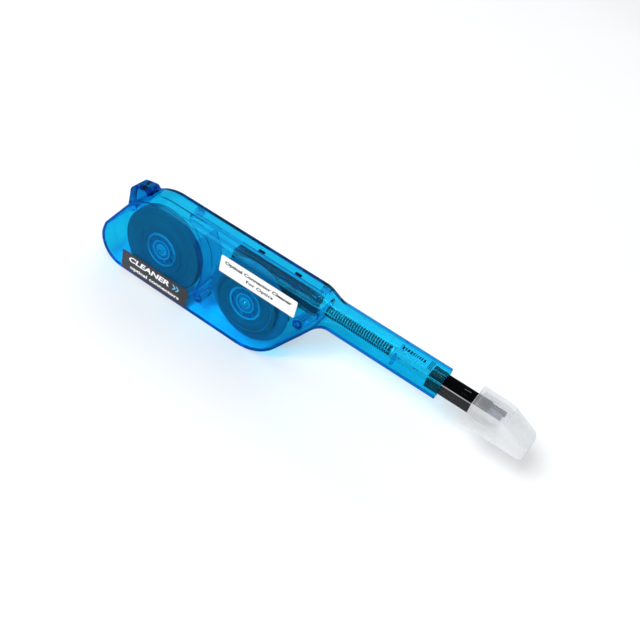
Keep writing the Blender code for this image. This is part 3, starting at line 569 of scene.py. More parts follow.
BLUE = clear_shell("clear_blue_plastic", (0.62, 0.905, 0.962), 1000.0, 1.29)
BLACK = moulded(
    "black_plastic", (0.0015, 0.0015, 0.002), (0.003, 0.003, 0.0035), (0.14, 0.26), 1200.0, 0.04, 0.0, 0.0
)
SLIDER_BLACK = moulded(
    "slider_black", (0.005, 0.010, 0.045), (0.008, 0.015, 0.060), (0.20, 0.32), 1200.0, 0.05, 0.0, 0.2
)
# The tube's flat sides: a lighter black than its top, as painted reflection of the pale floor.
BLACK_SIDE_REFLECTION = moulded(
    "black_sides_painted_reflection", (0.012, 0.013, 0.014), (0.018, 0.019, 0.020), (0.20, 0.34), 1200.0, 0.06, 0.0, 0.14
)
# Lighter grey for the tube's rounded edges: a painted highlight line.
EDGE_HIGHLIGHT_GREY = moulded("black_edges_painted_highlight", (0.22, 0.22, 0.23), (0.32, 0.32, 0.33), (0.22, 0.34), 1200.0, 0.04)
TAPE = woven("cleaning_tape", (0.05, 0.09, 0.16), (0.10, 0.16, 0.26))
STRAND = thin_cloth("single_tape", (0.72, 0.82, 0.90), (0.84, 0.91, 0.96), 0.92)
SUPPLY_SIDE = tape_side("wound_supply_tape", (0.035, 0.060, 0.11), (0.10, 0.17, 0.29), SUPPLY)
TAKEUP_SIDE = tape_side("wound_used_tape", (0.035, 0.055, 0.10), (0.12, 0.19, 0.30), TAKEUP)
REEL = moulded("reel_plastic", (0.02, 0.13, 0.27), (0.04, 0.19, 0.36), (0.22, 0.40), 900.0, 0.1)
# Lighter blue on the tops of the rings on a reel's near face: a painted highlight.
REEL_RING_HIGHLIGHT = moulded("reel_rings_painted_highlight", (0.06, 0.36, 0.58), (0.10, 0.46, 0.70), (0.22, 0.40), 900.0, 0.1)
ACETAL = moulded("gear_plastic", (0.42, 0.47, 0.52), (0.55, 0.60, 0.64), (0.30, 0.45))
STEEL = metal("screw_steel", (0.62, 0.62, 0.64), (0.45, 0.45, 0.47))
SPRING_STEEL = metal("spring_steel", (0.035, 0.037, 0.042), (0.02, 0.021, 0.025), (0.30, 0.45))
GREY = moulded("tip_plastic", (0.16, 0.21, 0.25), (0.21, 0.27, 0.31), (0.30, 0.45))
CAP_SIDE = frosted("frosted_cap_side", 0.66, (0.91, 0.92, 0.93))
CAP_TOP = frosted("frosted_cap_top", 0.20, (0.90, 0.93, 0.97))
WHITE_FILM = printed("white_label_film", (0.86, 0.86, 0.87), (0.90, 0.90, 0.91))
DARK_FILM = printed("charcoal_label_film", (0.016, 0.015, 0.018), (0.026, 0.024, 0.028), (0.34, 0.48))
BLACK_INK = printed("black_ink", (0.004, 0.004, 0.004), (0.008, 0.008, 0.008))
WHITE_INK = printed("white_ink", (0.85, 0.85, 0.86), (0.92, 0.92, 0.93))
# Dark navy: the colour of the moulded marks on the nose, and painted shade on the walls of the far shell's
# top slots.
NAVY_MARKS_AND_SLOT_SHADE = moulded("moulded_marks_and_painted_slot_shade", (0.0, 0.014, 0.075), (0.0, 0.020, 0.10), (0.3, 0.45), 900.0, 0.05, 0.0, 0.0)
SKY_INK = printed("sky_ink", (0.10, 0.42, 0.70), (0.14, 0.50, 0.80))


# Casing

def half_width(x, body, nose):
    share = max(0.0, min(1.0, (x - RAMP_START) / (RAMP_END - RAMP_START)))
    return body + (nose - body) * share * share * (3 - 2 * share)


def plan_outline(near, far, nose, steps=14):
    """The casing seen from above, between its near and far faces."""
    ramp = [RAMP_START + (RAMP_END - RAMP_START) * step / steps for step in range(steps + 1)]
    rear, front = REAR - 4, NOSE_END + 4
    outline = [(rear, -near)] + [(x, -half_width(x, near, nose)) for x in ramp] + [(front, -nose)]
    outline += [(front, nose)] + [(x, half_width(x, far, nose)) for x in reversed(ramp)] + [(rear, far)]
    return outline


def whole_body(name, corners, near, far, nose, edge):
    made = prism(name, rounded(corners, 16), -10, 10)
    combine(made, "INTERSECT", [prism(name + "_plan", plan_outline(near, far, nose), -6, 56, "Z")])
    return eased(made, edge, 3)


def half_of(made, side):
    """Cuts a closed solid at the seam and keeps the side asked for."""
    shape = bmesh.new()
    shape.from_mesh(made.data)
    plane = Vector((0.0, side * SEAM * MM, 0.0))
    geometry = shape.verts[:] + shape.edges[:] + shape.faces[:]
    bmesh.ops.bisect_plane(
        shape, geom=geometry, plane_co=plane, plane_no=(0.0, float(side), 0.0), clear_inner=True, dist=1e-7
    )
    rim = [edge for edge in shape.edges if len(edge.link_faces) == 1]
    bmesh.ops.holes_fill(shape, edges=rim, sides=0)
    bmesh.ops.recalc_face_normals(shape, faces=shape.faces)
    shape.to_mesh(made.data)
    shape.free()
    return made


def divider(name, low, high, inner=25.0, outer=25.9, first=-34, last=42, steps=30):
    """The curved wall between the reels, concentric with the supply reel."""
    angles = [radians(first + (last - first) * step / steps) for step in range(steps + 1)]
    outline = [(SUPPLY.x + outer * cos(a), SUPPLY.z + outer * sin(a)) for a in angles]
    outline += [(SUPPLY.x + inner * cos(a), SUPPLY.z + inner * sin(a)) for a in reversed(angles)]
    return prism(name, outline, low, high)


def channel_rib(name, side, end_x=-67.7, inner=2.4, outer=3.0, steps=14):
    """The rib that keeps the slider straight, with a round rear end."""
    angles = [pi / 2 + (pi / 2 - 0.03) * step / steps for step in range(steps + 1)]
    outline = [(4.25, side * outer)]
    outline += [(end_x + outer * cos(a), side * outer * sin(a)) for a in angles]
    outline += [(end_x + inner * cos(a), side * inner * sin(a)) for a in reversed(angles)]
    outline += [(4.25, side * inner)]
    return prism(name, outline, 45.9, BODY_TOP - 0.7, "Z")


def groove(name, centre, radius, face, depth, half):
    """A round-bottomed ring cut into a shell's inner face, which lies at `face`."""
    outward = 1 if face > 0 else -1
    arc = [pi * step / 8 for step in range(9)]
    profile = [(radius - half * cos(angle), face + outward * depth * sin(angle)) for angle in arc]
    profile += [(radius + half, face - outward * 0.4), (radius - half, face - outward * 0.4)]
    return lathe(name, profile, (centre.x, centre.z), 88)


# Picks the walls of the top slots, which get dark navy as painted shade.
def painted_shade_slot_wall(centre, normal):
    near_slot = any(abs(centre.x - slot) < SLOT_HALF + 0.1 for slot in TOP_SLOTS)
    inside = SLOT_Y[0] - 0.1 < centre.y < SLOT_Y[1] + 0.1 and centre.z > SLOT_Z[0]
    return near_slot and inside and abs(normal.z) < 0.5


def shell_tab(name, side):
    """This shell's half of the hollow tab at the rear of the top edge."""
    tab = eased(prism(name + "_tab", rounded(TAB_OUTLINE, 9), -TAB_HALF, TAB_HALF), 0.5)
    inside = rounded(inset(TAB_OUTLINE, 1.1), 9)
    combine(tab, "DIFFERENCE", [prism(name + "_tab_hollow", inside, -TAB_HALF + 1.2, TAB_HALF - 1.2)])
    return half_of(tab, side)


def shell_details(name, side, face):
    """What stands inside a shell: tab, divider, ribs, stop, guide, screw bosses, rungs and posts."""
    inner = side * (face - FACE_WALL / 2)
    between = sorted((side * SEAM, inner))
    nose_between = sorted((side * SEAM, side * 5.8))
    pieces = [
        shell_tab(name, side),
        divider(name + "_divider", *between),
        channel_rib(name + "_rib", side),
        box(name + "_stop", (8.8, 10.0), sorted((side * SEAM, side * 7.0)), (41.2, 45.3)),
        box(name + "_guide", (47.6, 48.8), sorted((side * 2.3, side * 5.8)), (41.0, 45.6)),
    ]
    for place, (x, z) in SCREWS.items():
        pieces.append(disc(f"{name}_boss_{place}", x, z, BOSS_RADIUS, *between))
        for turn in (0.25, 0.75, 1.25, 1.75):
            foot = Vector((x, z)) + 2.9 * Vector((cos(turn * pi), sin(turn * pi)))
            low, high = sorted((inner, side * (face - FACE_WALL - 2.5)))
            pieces.append(disc(f"{name}_foot_{place}_{turn}", foot.x, foot.y, 0.45, low, high, 12))
    for index in range(6):
        x = 18.5 + 8.0 * index
        pieces.append(box(f"{name}_rung_{index}", (x, x + 0.5), nose_between, (47.0 - 0.35, 47.2)))
    if side > 0:
        pieces += [
            disc(name + "_supply_boss", SUPPLY.x, SUPPLY.z, 5.8, -2.2, between[1], 48),
            disc(name + "_takeup_boss", TAKEUP.x, TAKEUP.z, 3.0, 1.5, between[1]),
            disc(name + "_pawl_post", -12.5, 17.0, 2.4, -1.8, between[1]),
        ]
        for start in (-72.4, 2.4):
            for index in range(4):
                x = start + 1.2 * index
                pieces.append(box(f"{name}_snap_{start}_{index}", (x, x + 0.6), (5.0, 7.4), (45.6, 48.6)))
    return pieces


def shell_cuts(name, side, face):
    """What is cut from a shell: grooves, the rod's hole, axle and screw holes, and the top slots."""
    cuts = []
    for place, centre in REELS.items():
        for radius in GROOVE_RADII[place]:
            ring = f"{name}_ring_{place}_{radius}"
            cuts.append(groove(ring, centre, radius, side * (face - FACE_WALL), GROOVE_DEPTH, GROOVE_HALF))
    cuts.append(prism(name + "_rod_hole", circle(0.0, AXIS_Z, AXLE_HOLE, 32), 7, 12, "X"))
    for place, centre in REELS.items():
        hole = (-8.3, 0.0) if side < 0 else (-4.0, 7.6)
        cuts.append(disc(f"{name}_{place}_hole", centre.x, centre.z, AXLE_HOLE, *hole))
    for place, (x, z) in SCREWS.items():
        if side < 0:
            cuts.append(disc(f"{name}_pilot_{place}", x, z, PILOT_RADIUS, -6.6, 4.0))
            continue
        cuts.append(disc(f"{name}_clear_{place}", x, z, SHANK_RADIUS, -1.0, 11.0))
        cuts.append(disc(f"{name}_sink_{place}", x, z, HEAD_RADIUS, 7.0, 11.0))
    if side > 0:
        for x in TOP_SLOTS:
            cuts.append(box(f"{name}_slot_{x}", (x - SLOT_HALF, x + SLOT_HALF), SLOT_Y, SLOT_Z))
    return cuts


def shell(name, side):
    """One moulded half of the casing: -1 is the near one and +1 the far one."""
    face = NEAR_FACE if side < 0 else FAR_FACE
    made = half_of(whole_body(name, OUTLINE, NEAR_FACE, FAR_FACE, NOSE_HALF, 0.75), side)
    hollow_corners = [(x + 4 if x > 50 else x, z, radius) for x, z, radius in inset(OUTLINE, RIM_WALL)]
    hollow = whole_body(
        name + "_hollow", hollow_corners,
        NEAR_FACE - FACE_WALL, FAR_FACE - FACE_WALL, NOSE_HALF - RIM_WALL, 0.45,
    )
    combine(made, "DIFFERENCE", [hollow])
    combine(made, "UNION", shell_details(name, side, face))
    combine(made, "DIFFERENCE", shell_cuts(name, side, face))
    finish(made, BLUE, "casing", "blue_shell", [name])
    # The far shell's slot walls get dark navy: painted shade in the slots.
    return repaint(made, NAVY_MARKS_AND_SLOT_SHADE, painted_shade_slot_wall) if side > 0 else made


def screw(place):
    """A self-tapping screw: thread, pan head and cross recess."""
    x, z = SCREWS[place]
    thread = [(0.55, -6.0)]
    steps = 26
    for index in range(steps):
        y = -5.6 + index * 0.48
        thread += [(0.72, y), (0.95, y + 0.2), (0.72, y + 0.34)]
    head = [(1.0, 7.1), (1.9, 7.1), (1.9, 7.7), (1.6, 8.15), (0.9, 8.45), (0.05, 8.5), (0.05, -6.0)]
    profile = thread + head
    made = lathe("screw_" + place, profile, (x, z), 40)
    slots = []
    for index, (wide, tall) in enumerate(((1.1, 0.22), (0.22, 1.1))):
        slots.append(box(f"{place}_slot_{index}", (x - wide, x + wide), (7.75, 10.0), (z - tall, z + tall)))
    combine(made, "DIFFERENCE", slots)
    return finish(made, STEEL, "casing", "screw_steel", ["shell_screw_" + place])


# Reels and tape

# Faces nearer than this, the ring tops on a reel's near face, get the painted highlight.
REEL_HIGHLIGHT_FACE = -6.95


def reel(name, centre, flange, body, node, spokes):
    """A moulded reel: hub, rings and spokes on its near face, and a thin far flange."""
    profile = [
        (1.75, -7.1), (3.1, -7.1), (3.1, -6.9), (4.6, -6.9), (4.6, -7.1), (5.3, -7.1), (5.3, -6.0),
        (7.9, -6.0), (7.9, -7.1), (9.0, -7.1), (9.0, -3.8), (flange - 0.3, -3.8), (flange, -3.65),
        (flange, -3.35), (flange - 0.3, -3.2), (8.0, -3.2), (8.0, -4.6), (3.2, -4.6), (3.2, -2.95),
        (1.75, -2.95),
    ]
    made = lathe(name, profile, (centre.x, centre.z), 112)
    ribs = []
    for index in range(spokes):
        turn = 2 * pi * index / spokes
        along = Vector((cos(turn), sin(turn)))
        across = Vector((-along.y, along.x)) * 0.22
        corners = [along * 4.8 - across, along * 8.3 - across, along * 8.3 + across, along * 4.8 + across]
        outline = [(centre.x + corner.x, centre.z + corner.y) for corner in corners]
        ribs.append(prism(f"{name}_rib_{index}", outline, -6.8, -5.4))
    combine(made, "UNION", ribs)
    finish(made, REEL, body, "reel_plastic", [node], 30)
    # The ring tops get a lighter blue as a painted highlight.
    return repaint(made, REEL_RING_HIGHLIGHT, lambda centre, normal: centre.y < REEL_HIGHLIGHT_FACE)


def wound_tape(name, centre, radius, look, body, node, turns, seed):
    """Tape wound on a hub. Each turn of its near face stands at a slightly different height."""
    chance = Random(seed)
    inner = 9.2
    pitch = (radius - inner) / turns
    near = []
    for turn in range(turns):
        start = inner + pitch * turn
        height = -7.0 + 0.10 * chance.random()
        near.append((start + 0.12 * pitch, height + 0.05))
        near.append((start + 0.35 * pitch, height))
        near.append((start + 0.80 * pitch, height))
    rim = [(radius, -6.85), (radius, -3.95), (radius - 0.05, -3.9)]
    profile = [(inner, -3.9), (inner, -6.9)] + near + rim
    made = lathe(name, profile, (centre.x, centre.z), 128)
    return finish(made, look, body, "tape", [node], 50)


def ribbon_section(width, thickness):
    half, lift = width / 2, thickness / 2
    edge = lift * 0.6
    return [
        (-half, -lift + edge), (-half + edge, -lift), (half - edge, -lift), (half, -lift + edge),
        (half, lift - edge), (half - edge, lift), (-half + edge, lift), (-half, lift - edge),
    ]


TAPE_MIDDLE = SUPPLY.y
TAPE_SECTION = ribbon_section(2.9, 0.22)
TUBE_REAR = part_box("nose_tube")[0].x / MM
STRAND_TOP, STRAND_LOW, STRAND_SIDE = 46.2, 40.25, 3.1
TUBE_STRAND_OFFSET = 1.8


def neck_run(z, in_tube):
    """The stretch in the nose: across the rod's line, beside it, and into the tube."""
    return [
        (18.0, TAPE_MIDDLE + 4.6, z), (24.0, STRAND_SIDE - 1.1, z), (29.0, STRAND_SIDE, z),
        (40.0, STRAND_SIDE, z), (54.0, STRAND_SIDE, z), (60.0, STRAND_SIDE / 3, z),
        (TUBE_REAR - 0.7, 0.0, in_tube),
    ]


def feed_tape():
    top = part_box("supply_tape_roll")[1].z / MM + 0.2
    points = [
        (SUPPLY.x - 5.0, TAPE_MIDDLE, top - 0.5), (SUPPLY.x, TAPE_MIDDLE, top), (-60.0, TAPE_MIDDLE, top),
        (-30.0, TAPE_MIDDLE, top), (0.0, TAPE_MIDDLE, top), (6.0, TAPE_MIDDLE + 0.4, top - 0.4),
        (12.0, TAPE_MIDDLE + 2.4, 46.5),
    ]
    route = smooth_route(points + neck_run(STRAND_TOP, AXIS_Z + TUBE_STRAND_OFFSET), 10)
    return strand(sweep("feed_tape_strand", route, TAPE_SECTION), "feed_tape")


def return_tape():
    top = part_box("takeup_tape_roll")[1].z / MM + 0.2
    points = [
        (TAKEUP.x - 4.0, TAPE_MIDDLE, top - 0.45), (TAKEUP.x, TAPE_MIDDLE, top),
        (-10.0, TAPE_MIDDLE, top - 0.9), (1.0, TAPE_MIDDLE, 41.3), (6.0, TAPE_MIDDLE + 0.4, 40.9),
        (12.0, TAPE_MIDDLE + 2.4, 40.5),
    ]
    route = smooth_route(points + neck_run(STRAND_LOW, AXIS_Z - TUBE_STRAND_OFFSET), 10)
    return strand(sweep("return_tape_strand", route, TAPE_SECTION), "return_tape")


def strand(made, node):
    smooth(made, 50)
    made.data.materials.append(STRAND)
    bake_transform(made)
    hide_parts(node)
    return made


def tip_tape(steps=10):
    """Out through the tube, round the tongue and back."""
    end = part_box("tip_head")[1].x / MM
    wrap = 1.35 + 0.2
    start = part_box("tip_tape")[0].x / MM
    level = AXIS_Z + TUBE_STRAND_OFFSET
    upper = [(start, 0.0, level), (84.0, 0.0, level), (94.0, 0.0, level), (96.5, 0.0, AXIS_Z + wrap)]
    corner = 1.0
    front = end + 0.22
    arc = []
    for step in range(steps + 1):
        angle = pi / 2 * (1 - step / steps)
        z = AXIS_Z + wrap - corner + corner * sin(angle)
        arc.append((front - corner + corner * cos(angle), 0.0, z))
    half = upper + arc
    route = half + [(x, y, 2 * AXIS_Z - z) for x, y, z in reversed(half)]
    made = sweep("tip_tape_loop", route, TAPE_SECTION)
    return finish(made, TAPE, "tip", "tape", ["tip_tape"], 50)


# Plunger

def slider():
    """The black slider: a rack below, two lines along each side, a channel on top and two windows."""
    low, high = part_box("rack_slider")
    rear, front, top = low.x / MM, high.x / MM, high.z / MM
    module = 0.75
    pitch = pi * module
    line = TAKEUP.z + module * 14
    tip, root = line - module * 0.92, line + module * 1.25
    half = (pitch / 2 - 0.15) / 2
    lean = tan(radians(20))
    points = [(rear, top - 1.2), (rear, root)]
    for tooth in range(14):
        middle = TAKEUP.x + pitch * (tooth - 3.5)
        points.append((middle - half - (root - line) * lean, root))
        points.append((middle - half + (line - tip) * lean, tip))
        points.append((middle + half - (line - tip) * lean, tip))
        points.append((middle + half + (root - line) * lean, root))
    points += [(front, root + 0.8), (front, top), (rear + 1.2, top)]
    made = eased(prism("slider", points, -2.2, 2.2), 0.18, 2)
    cuts = [box("slider_window", (rear + 6, rear + 20), (-4, 4), (40.5, 42.8))]
    cuts.append(box("slider_window_front", (rear + 24, rear + 40), (-4, 4), (41.0, 42.6)))
    cuts.append(box("slider_top", (rear + 5, front - 5), (-1.0, 1.0), (top - 0.6, top + 1)))
    for side in (-1, 1):
        for index in range(2):
            z = 43.9 + index * 1.2
            reach = sorted((side * 2.0, side * 3.0))
            cuts.append(box(f"slider_line_{side}_{index}", (rear + 2, front - 2), reach, (z, z + 0.35)))
    combine(made, "DIFFERENCE", cuts)
    return finish(made, SLIDER_BLACK, "plunger", "black_plastic", ["rack_slider"])


def rod():
    made = prism("rod", circle(0.0, AXIS_Z, 1.2, 40), 6.5, 46.0, "X")
    parts = [eased(prism("rod_collar", circle(0.0, AXIS_Z, 2.5, 48), 45.3, 46.5, "X"), 0.2)]
    parts.append(eased(box("rod_flat", (45.9, 66.0), (-2.0, 2.0), (AXIS_Z - 1.4, AXIS_Z + 1.4)), 0.25))
    parts.append(eased(box("rod_plug", (65.5, 68.2), (-3.3, 3.3), (AXIS_Z - 1.4, AXIS_Z + 1.4)), 0.25))
    combine(made, "UNION", parts)
    cuts = []
    for index in range(4):
        x = 49.5 + 3.6 * index
        cuts.append(box(f"rod_pocket_{index}", (x, x + 2.6), (-1.2, 1.2), (AXIS_Z + 0.9, AXIS_Z + 3)))
        cuts.append(box(f"rod_pocket_low_{index}", (x, x + 2.6), (-1.2, 1.2), (AXIS_Z - 3, AXIS_Z - 0.9)))
    combine(made, "DIFFERENCE", cuts)
    return finish(made, ACETAL, "plunger", "gear_plastic", ["plunger_rod"])


def coil(name, x0, x1, radius, wire, turns, steps=28, sides=10):
    """A compression spring along X with closed ends."""
    shape = bmesh.new()
    rings = []
    count = int(turns * steps)
    closed = 1.6
    pitch = (x1 - x0 - 2 * wire - 2 * closed * 2 * wire * 1.02) / (turns - 2 * closed)
    x = x0 + wire
    for index in range(count + 1):
        turn = index / steps
        angle = 2 * pi * turn
        centre = Vector((x, radius * cos(angle), AXIS_Z + radius * sin(angle)))
        outward = Vector((0.0, cos(angle), sin(angle)))
        ring = []
        for side in range(sides):
            around = 2 * pi * side / sides
            spoke = outward * cos(around) + Vector((sin(around), 0.0, 0.0))
            ring.append(shape.verts.new(centre + wire * spoke))
        rings.append(ring)
        near_end = turn < closed or turn > turns - closed
        x += (2 * wire * 1.02 if near_end else pitch) / steps
    return skin(name, shape, rings)


def springs():
    low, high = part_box("return_spring")
    made = smooth(coil("return_coil", low.x / MM, high.x / MM, 2.0, 0.28, 29), 60)
    made.data.materials.append(SPRING_STEEL)
    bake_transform(made)
    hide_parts("return_spring")
    low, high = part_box("head_spring")
    small = smooth(coil("head_coil", low.x / MM, high.x / MM, 1.2, 0.2, 12, 24, 8), 60)
    small.data.materials.append(SPRING_STEEL)
    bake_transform(small)
    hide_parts("head_spring")


def tube():
    """The rectangular nose tube, with its two guide prongs."""
    low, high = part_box("nose_tube")
    rear, end = low.x / MM, high.x / MM
    half_y, half_z = (high.y - low.y) / 2 / MM, (high.z - low.z) / 2 / MM
    top, foot = AXIS_Z + half_z, AXIS_Z - half_z
    made = prism("tube", rounded(rectangle(-half_y, half_y, foot, top, 0.5), 15), rear, end, "X")
    bore = rectangle(-half_y + 0.9, half_y - 0.9, foot + 0.8, top - 0.8)
    cuts = [prism("tube_bore", bore, rear - 4, end + 4, "X")]
    cuts.append(box("tube_end_top", (94.25, end + 4), (-6, 6), (top - 1.0, top + 2)))
    cuts.append(box("tube_end_low", (94.25, end + 4), (-6, 6), (foot - 2, foot + 1.0)))
    slant = [(98.5, 39.0), (end + 4, 39.0), (end + 4, AXIS_Z - 0.8), (100.5, AXIS_Z - 0.8)]
    cuts.append(prism("tube_slant", slant, -6, 6))
    mark = rounded(rectangle(81.0, 84.5, -1.6, 1.6, 0.4), 9)
    cuts.append(prism("tube_mark", mark, top - 0.15, top + 1, "Z"))
    combine(made, "DIFFERENCE", cuts)
    lug_z = (AXIS_Z + 2.5, AXIS_Z + 3.35)
    lugs = [box(f"tube_lug_{y}", (65.4, 66.9), (y, y + 1.3), lug_z) for y in (-3.9, 2.6)]
    combine(made, "UNION", lugs)
    eased(made, 0.10, 2, 50)
    finish(made, BLACK, "plunger", "black_plastic", ["nose_tube"])
    # The flat sides get a lighter black than the top: painted reflection.
    repaint(made, BLACK_SIDE_REFLECTION, lambda centre, normal: abs(normal.y) > 0.9)
    # The rounded edges along the tube get a lighter grey: a painted highlight line.
    return repaint(
        made, EDGE_HIGHLIGHT_GREY, lambda centre, normal: 0.35 < abs(normal.y) < 0.93 and 0.35 < abs(normal.z) < 0.93
    )


def tip_head():
    low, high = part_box("tip_head")
    rear, end = low.x / MM, high.x / MM
    made = eased(box("head", (rear, 94.0), (-3.2, 3.2), (AXIS_Z - 1.55, AXIS_Z + 1.55)), 0.2)
    foot, top = AXIS_Z - 1.35, AXIS_Z + 1.35
    side = rounded([(93.0, foot, 0.0), (end, foot, 0.8), (end, top, 0.8), (93.0, top, 0.0)], 24)
    combine(made, "UNION", [prism("head_tongue", side, -1.9, 1.9)])
    cuts = [prism(f"head_hole_{y}", circle(y, AXIS_Z, 0.4, 20), 90.0, 95.0, "X") for y in (-2.5, 2.5)]
    combine(made, "DIFFERENCE", cuts)
    return finish(made, GREY, "tip", "grey_plastic", ["tip_head"])


# Cap

CAP_SLOPE_START, CAP_SLOPE_END = 102.0, 41.5
CAP_BROW, CAP_LIP, CAP_CHIN, CAP_CHEEK, CAP_WALL = 8.0, 2.5, 2.0, 2.5, 1.3


def cap_solid(name, rear, inset_by, edge):
    """The cap's outer form, with every surface but the rear one moved inwards."""
    box_low, box_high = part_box("dust_cap")
    back, front, half_y = box_low.x / MM, box_high.x / MM, box_high.y / MM - inset_by
    outline = [
        (back, box_low.z / MM, 0.0), (front, box_low.z / MM, CAP_CHIN), (front, CAP_SLOPE_END, CAP_LIP),
        (CAP_SLOPE_START, box_high.z / MM, CAP_BROW), (back, box_high.z / MM, 0.0),
    ]
    side = inset(outline, inset_by)
    side[0] = (rear, side[0][1], 0.0)
    side[-1] = (rear, side[-1][1], 0.0)
    front, low, high = side[1][0], side[0][1], side[-1][1]
    cheek = max(CAP_CHEEK - inset_by, 0.5)
    behind = rear - 1.0
    plan = [(behind, -half_y, 0.0), (front, -half_y, cheek), (front, half_y, cheek), (behind, half_y, 0.0)]
    made = prism(name, rounded(side, 18), -half_y - 1, half_y + 1)
    combine(made, "INTERSECT", [prism(name + "_plan", rounded(plan, 18), low - 1, high + 1, "Z")])
    return eased(made, edge, 4, 40)


def dust_cap():
    low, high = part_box("dust_cap")
    rear, half_y, bottom = low.x / MM, high.y / MM, low.z / MM
    made = cap_solid("cap", rear, 0.0, 1.5)
    cuts = []
    for side in (-1, 1):
        for index, (z, first, last) in enumerate(((bottom + 1.6, 4.5, 16.5), (bottom + 6.9, 2.4, 14.8))):
            reach = sorted((side * (half_y - 0.35), side * (half_y + 2)))
            groove = rectangle(rear + first, rear + last, z - 0.75, z + 0.75, 0.6)
            cuts.append(prism(f"cap_groove_{side}_{index}", rounded(groove, 15), *reach))
    combine(made, "DIFFERENCE", cuts)
    combine(made, "DIFFERENCE", [cap_solid("cap_hollow", rear + 1.6, CAP_WALL, 0.8)])
    entry = box("cap_entry", (rear - 4, rear + 4), (-4.55, 4.55), (AXIS_Z - 3.2, AXIS_Z + 3.2))
    combine(made, "DIFFERENCE", [entry])
    finish(made, CAP_SIDE, "cap", "frosted_cap", ["dust_cap"])
    top_end = rear + 17.0
    return repaint(made, CAP_TOP, lambda centre, normal: abs(normal.z) > 0.75 and centre.x < top_end)


# Labels

def film(name, node, look, slot, radius):
    low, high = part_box(node)
    outline = rounded(rectangle(low.x / MM, high.x / MM, low.z / MM, high.z / MM, radius), 24)
    made = eased(prism(name, outline, low.y / MM + 0.015, high.y / MM), 0.02, 2)
    return finish(made, look, "casing", slot, [node])


def marks(name, outlines, look, slot, node):
    """Flat printed shapes on a label, as one thin mesh."""
    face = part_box(node)[0].y / MM
    shape = bmesh.new()
    for outline in outlines:
        raise_face(shape, [(x, face + 0.014, z) for x, z in outline], (0.0, -0.012, 0.0))
    return finish(to_object(name, shape), look, "casing", slot)


def lettering(name, words, centre, width, height, look, slot, node, weight=0.0, slant=0.0):
    """Generic printed words of a given width and height, facing the near side."""
    text = bpy.data.curves.new(name + "_text", "FONT")
    text.body = words
    text.offset = weight
    text.shear = slant
    text.extrude = 0.006
    text.resolution_u = 3
    made = linked(name, text)
    mesh = evaluated_mesh(made)
    bpy.data.objects.remove(made)
    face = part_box(node)[0].y / MM
    left, right = (pick(vertex.co.x for vertex in mesh.vertices) for pick in (min, max))
    foot, head = (pick(vertex.co.y for vertex in mesh.vertices) for pick in (min, max))
    for vertex in mesh.vertices:
        x, z, y = vertex.co
        x = centre[0] + width * ((x - left) / (right - left) - 0.5)
        z = centre[1] + height * ((z - foot) / (head - foot) - 0.5)
        vertex.co = (x * MM, (face + 0.008 - y) * MM, z * MM)
    return finish(linked(name, mesh), look, "casing", slot)


def labels():
    film("white_label_plate", "white_label", WHITE_FILM, "white_label", 0.9)
    film("dark_label_plate", "dark_label", DARK_FILM, "dark_label", 1.2)
    white, dark = centre_of("white_label"), centre_of("dark_label")
    line = (BLACK_INK, "white_label", "white_label")
    words = "Optical Connector Cleaner"
    lettering("white_label_words", words, (white.x, white.z + 1.5), 38.5, 2.4, *line, 0.045)
    lettering("white_label_small", "For Optics", (white.x + 1.5, white.z - 1.9), 15.5, 2.3, *line, 0.03)
    line = (WHITE_INK, "dark_label", "dark_label")
    lettering("dark_label_words", "CLEANER", (dark.x - 3.6, dark.z + 2.2), 26.5, 3.4, *line, 0.035, 0.2)
    words = "optical connectors"
    lettering("dark_label_small", words, (dark.x + 0.5, dark.z - 3.0), 32.5, 2.7, *line, 0.03)
    x, z = dark.x + 13.2, dark.z + 2.2
    chevrons = [
        [(left, z - 1.7), (left + 1.0, z - 1.7), (left + 2.5, z),
         (left + 1.0, z + 1.7), (left, z + 1.7), (left + 1.5, z)]
        for left in (x - 1.6, x + 0.6)
    ]
    marks("dark_label_chevrons", chevrons, SKY_INK, "dark_label", "dark_label")


def nose_marks():
    """Moulded marks on top of the nose: a row of plain bars and three lines across."""
    chance = Random(5)
    bars = []
    x = 49.2
    while x < 61.2:
        length = chance.choice((0.4, 0.6, 0.9))
        bars.append(rectangle(x, x + length, -0.3 + 0.5 * chance.random(), 1.9))
        x += length + 0.55
    bars += [rectangle(x, x + 0.3, -2.2, 3.8) for x in (63.0, 63.75, 64.5)]
    shape = bmesh.new()
    for outline in bars:
        raise_face(shape, [(u, v, NOSE_TOP - 0.01) for u, v, _ in outline], (0.0, 0.0, 0.07))
    return finish(to_object("nose_marks", shape), NAVY_MARKS_AND_SLOT_SHADE, "casing", "blue_shell")


# CAD nodes that keep their own shape

def carried():
    looks = {
        "screw_steel": (STEEL, ("supply_axle", "takeup_axle")),
        "spring_steel": (SPRING_STEEL, ("supply_brake_washer", "backstop_pawl", "pawl_ring")),
        "gear_plastic": (ACETAL, ("ratchet_wheel", "drive_gear")),
    }
    for slot, (look, names) in looks.items():
        for name in names:
            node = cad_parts[name]
            node.data.materials.clear()
            node.data.materials.append(look)


# Studio

LIGHT_AIM = (-0.02, 0.0, 0.02)
CLEAR_BOUNCES = 24


def floor():
    half = 3000.0
    made = prism("floor", rectangle(-half, half, -half, half), -20.0, -0.02, "Z")
    made.data.materials.append(floor_paper("studio_floor"))


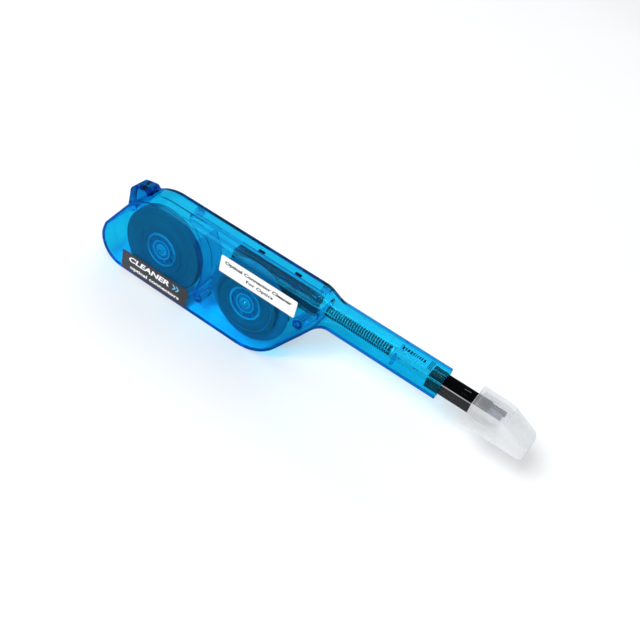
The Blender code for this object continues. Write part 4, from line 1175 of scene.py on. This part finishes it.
def aimed(name, data, place, aim, roll=0.0):
    """A light or camera at a place, turned towards its aim."""
    made = linked(name, data)
    made.location = place
    made.rotation_mode = "QUATERNION"
    level = (Vector(aim) - Vector(place)).to_track_quat("-Z", "Y")
    made.rotation_quaternion = level @ Quaternion((0.0, 0.0, 1.0), roll)
    return made


def area_light(name, place, size, power):
    data = bpy.data.lights.new(name, "AREA")
    data.shape = "RECTANGLE"
    data.size, data.size_y = size
    data.energy = power
    aimed(name, data, place, LIGHT_AIM)


def studio():
    scene = bpy.context.scene
    world = bpy.data.worlds.new("studio")
    world.use_nodes = True
    sky = world.node_tree.nodes["Background"]
    sky.inputs["Color"].default_value = (0.97, 0.985, 1.0, 1.0)
    sky.inputs["Strength"].default_value = 0.64
    scene.world = world
    area_light("key", (-0.16, -1.04, 1.28), (0.42, 0.32), 15.0)
    area_light("fill", (-0.20, 0.66, 0.64), (0.90, 0.42), 1.5)
    scene.view_settings.view_transform = "Standard"
    scene.cycles.transparent_max_bounces = 40
    # With fewer bounces, rays end inside the clear plastic and its outlines turn black.
    scene.cycles.max_bounces = CLEAR_BOUNCES
    scene.cycles.transmission_bounces = CLEAR_BOUNCES
    scene.cycles.glossy_bounces = CLEAR_BOUNCES
    floor()


def camera():
    data = bpy.data.cameras.new("camera")
    data.lens = CAMERA_LENS
    data.sensor_width = 36.0
    data.clip_start = 0.01
    bpy.context.scene.camera = aimed("camera", data, CAMERA_PLACE, CAMERA_AIM, CAMERA_ROLL)


def build():
    camera()
    studio()
    shell("near_shell", -1)
    shell("far_shell", 1)
    for place in SCREWS:
        screw(place)
    reel("rear_reel", SUPPLY, 22.7, "supply", "supply_reel", 12)
    reel("front_reel", TAKEUP, 22.2, "takeup", "takeup_reel", 12)
    wound_tape("rear_wound_tape", SUPPLY, 22.4, SUPPLY_SIDE, "supply", "supply_tape_roll", 30, 3)
    wound_tape("front_wound_tape", TAKEUP, 17.0, TAKEUP_SIDE, "takeup", "takeup_tape_roll", 18, 7)
    feed_tape()
    return_tape()
    tip_tape()
    slider()
    rod()
    springs()
    tube()
    tip_head()
    dust_cap()
    labels()
    nose_marks()
    carried()


build()
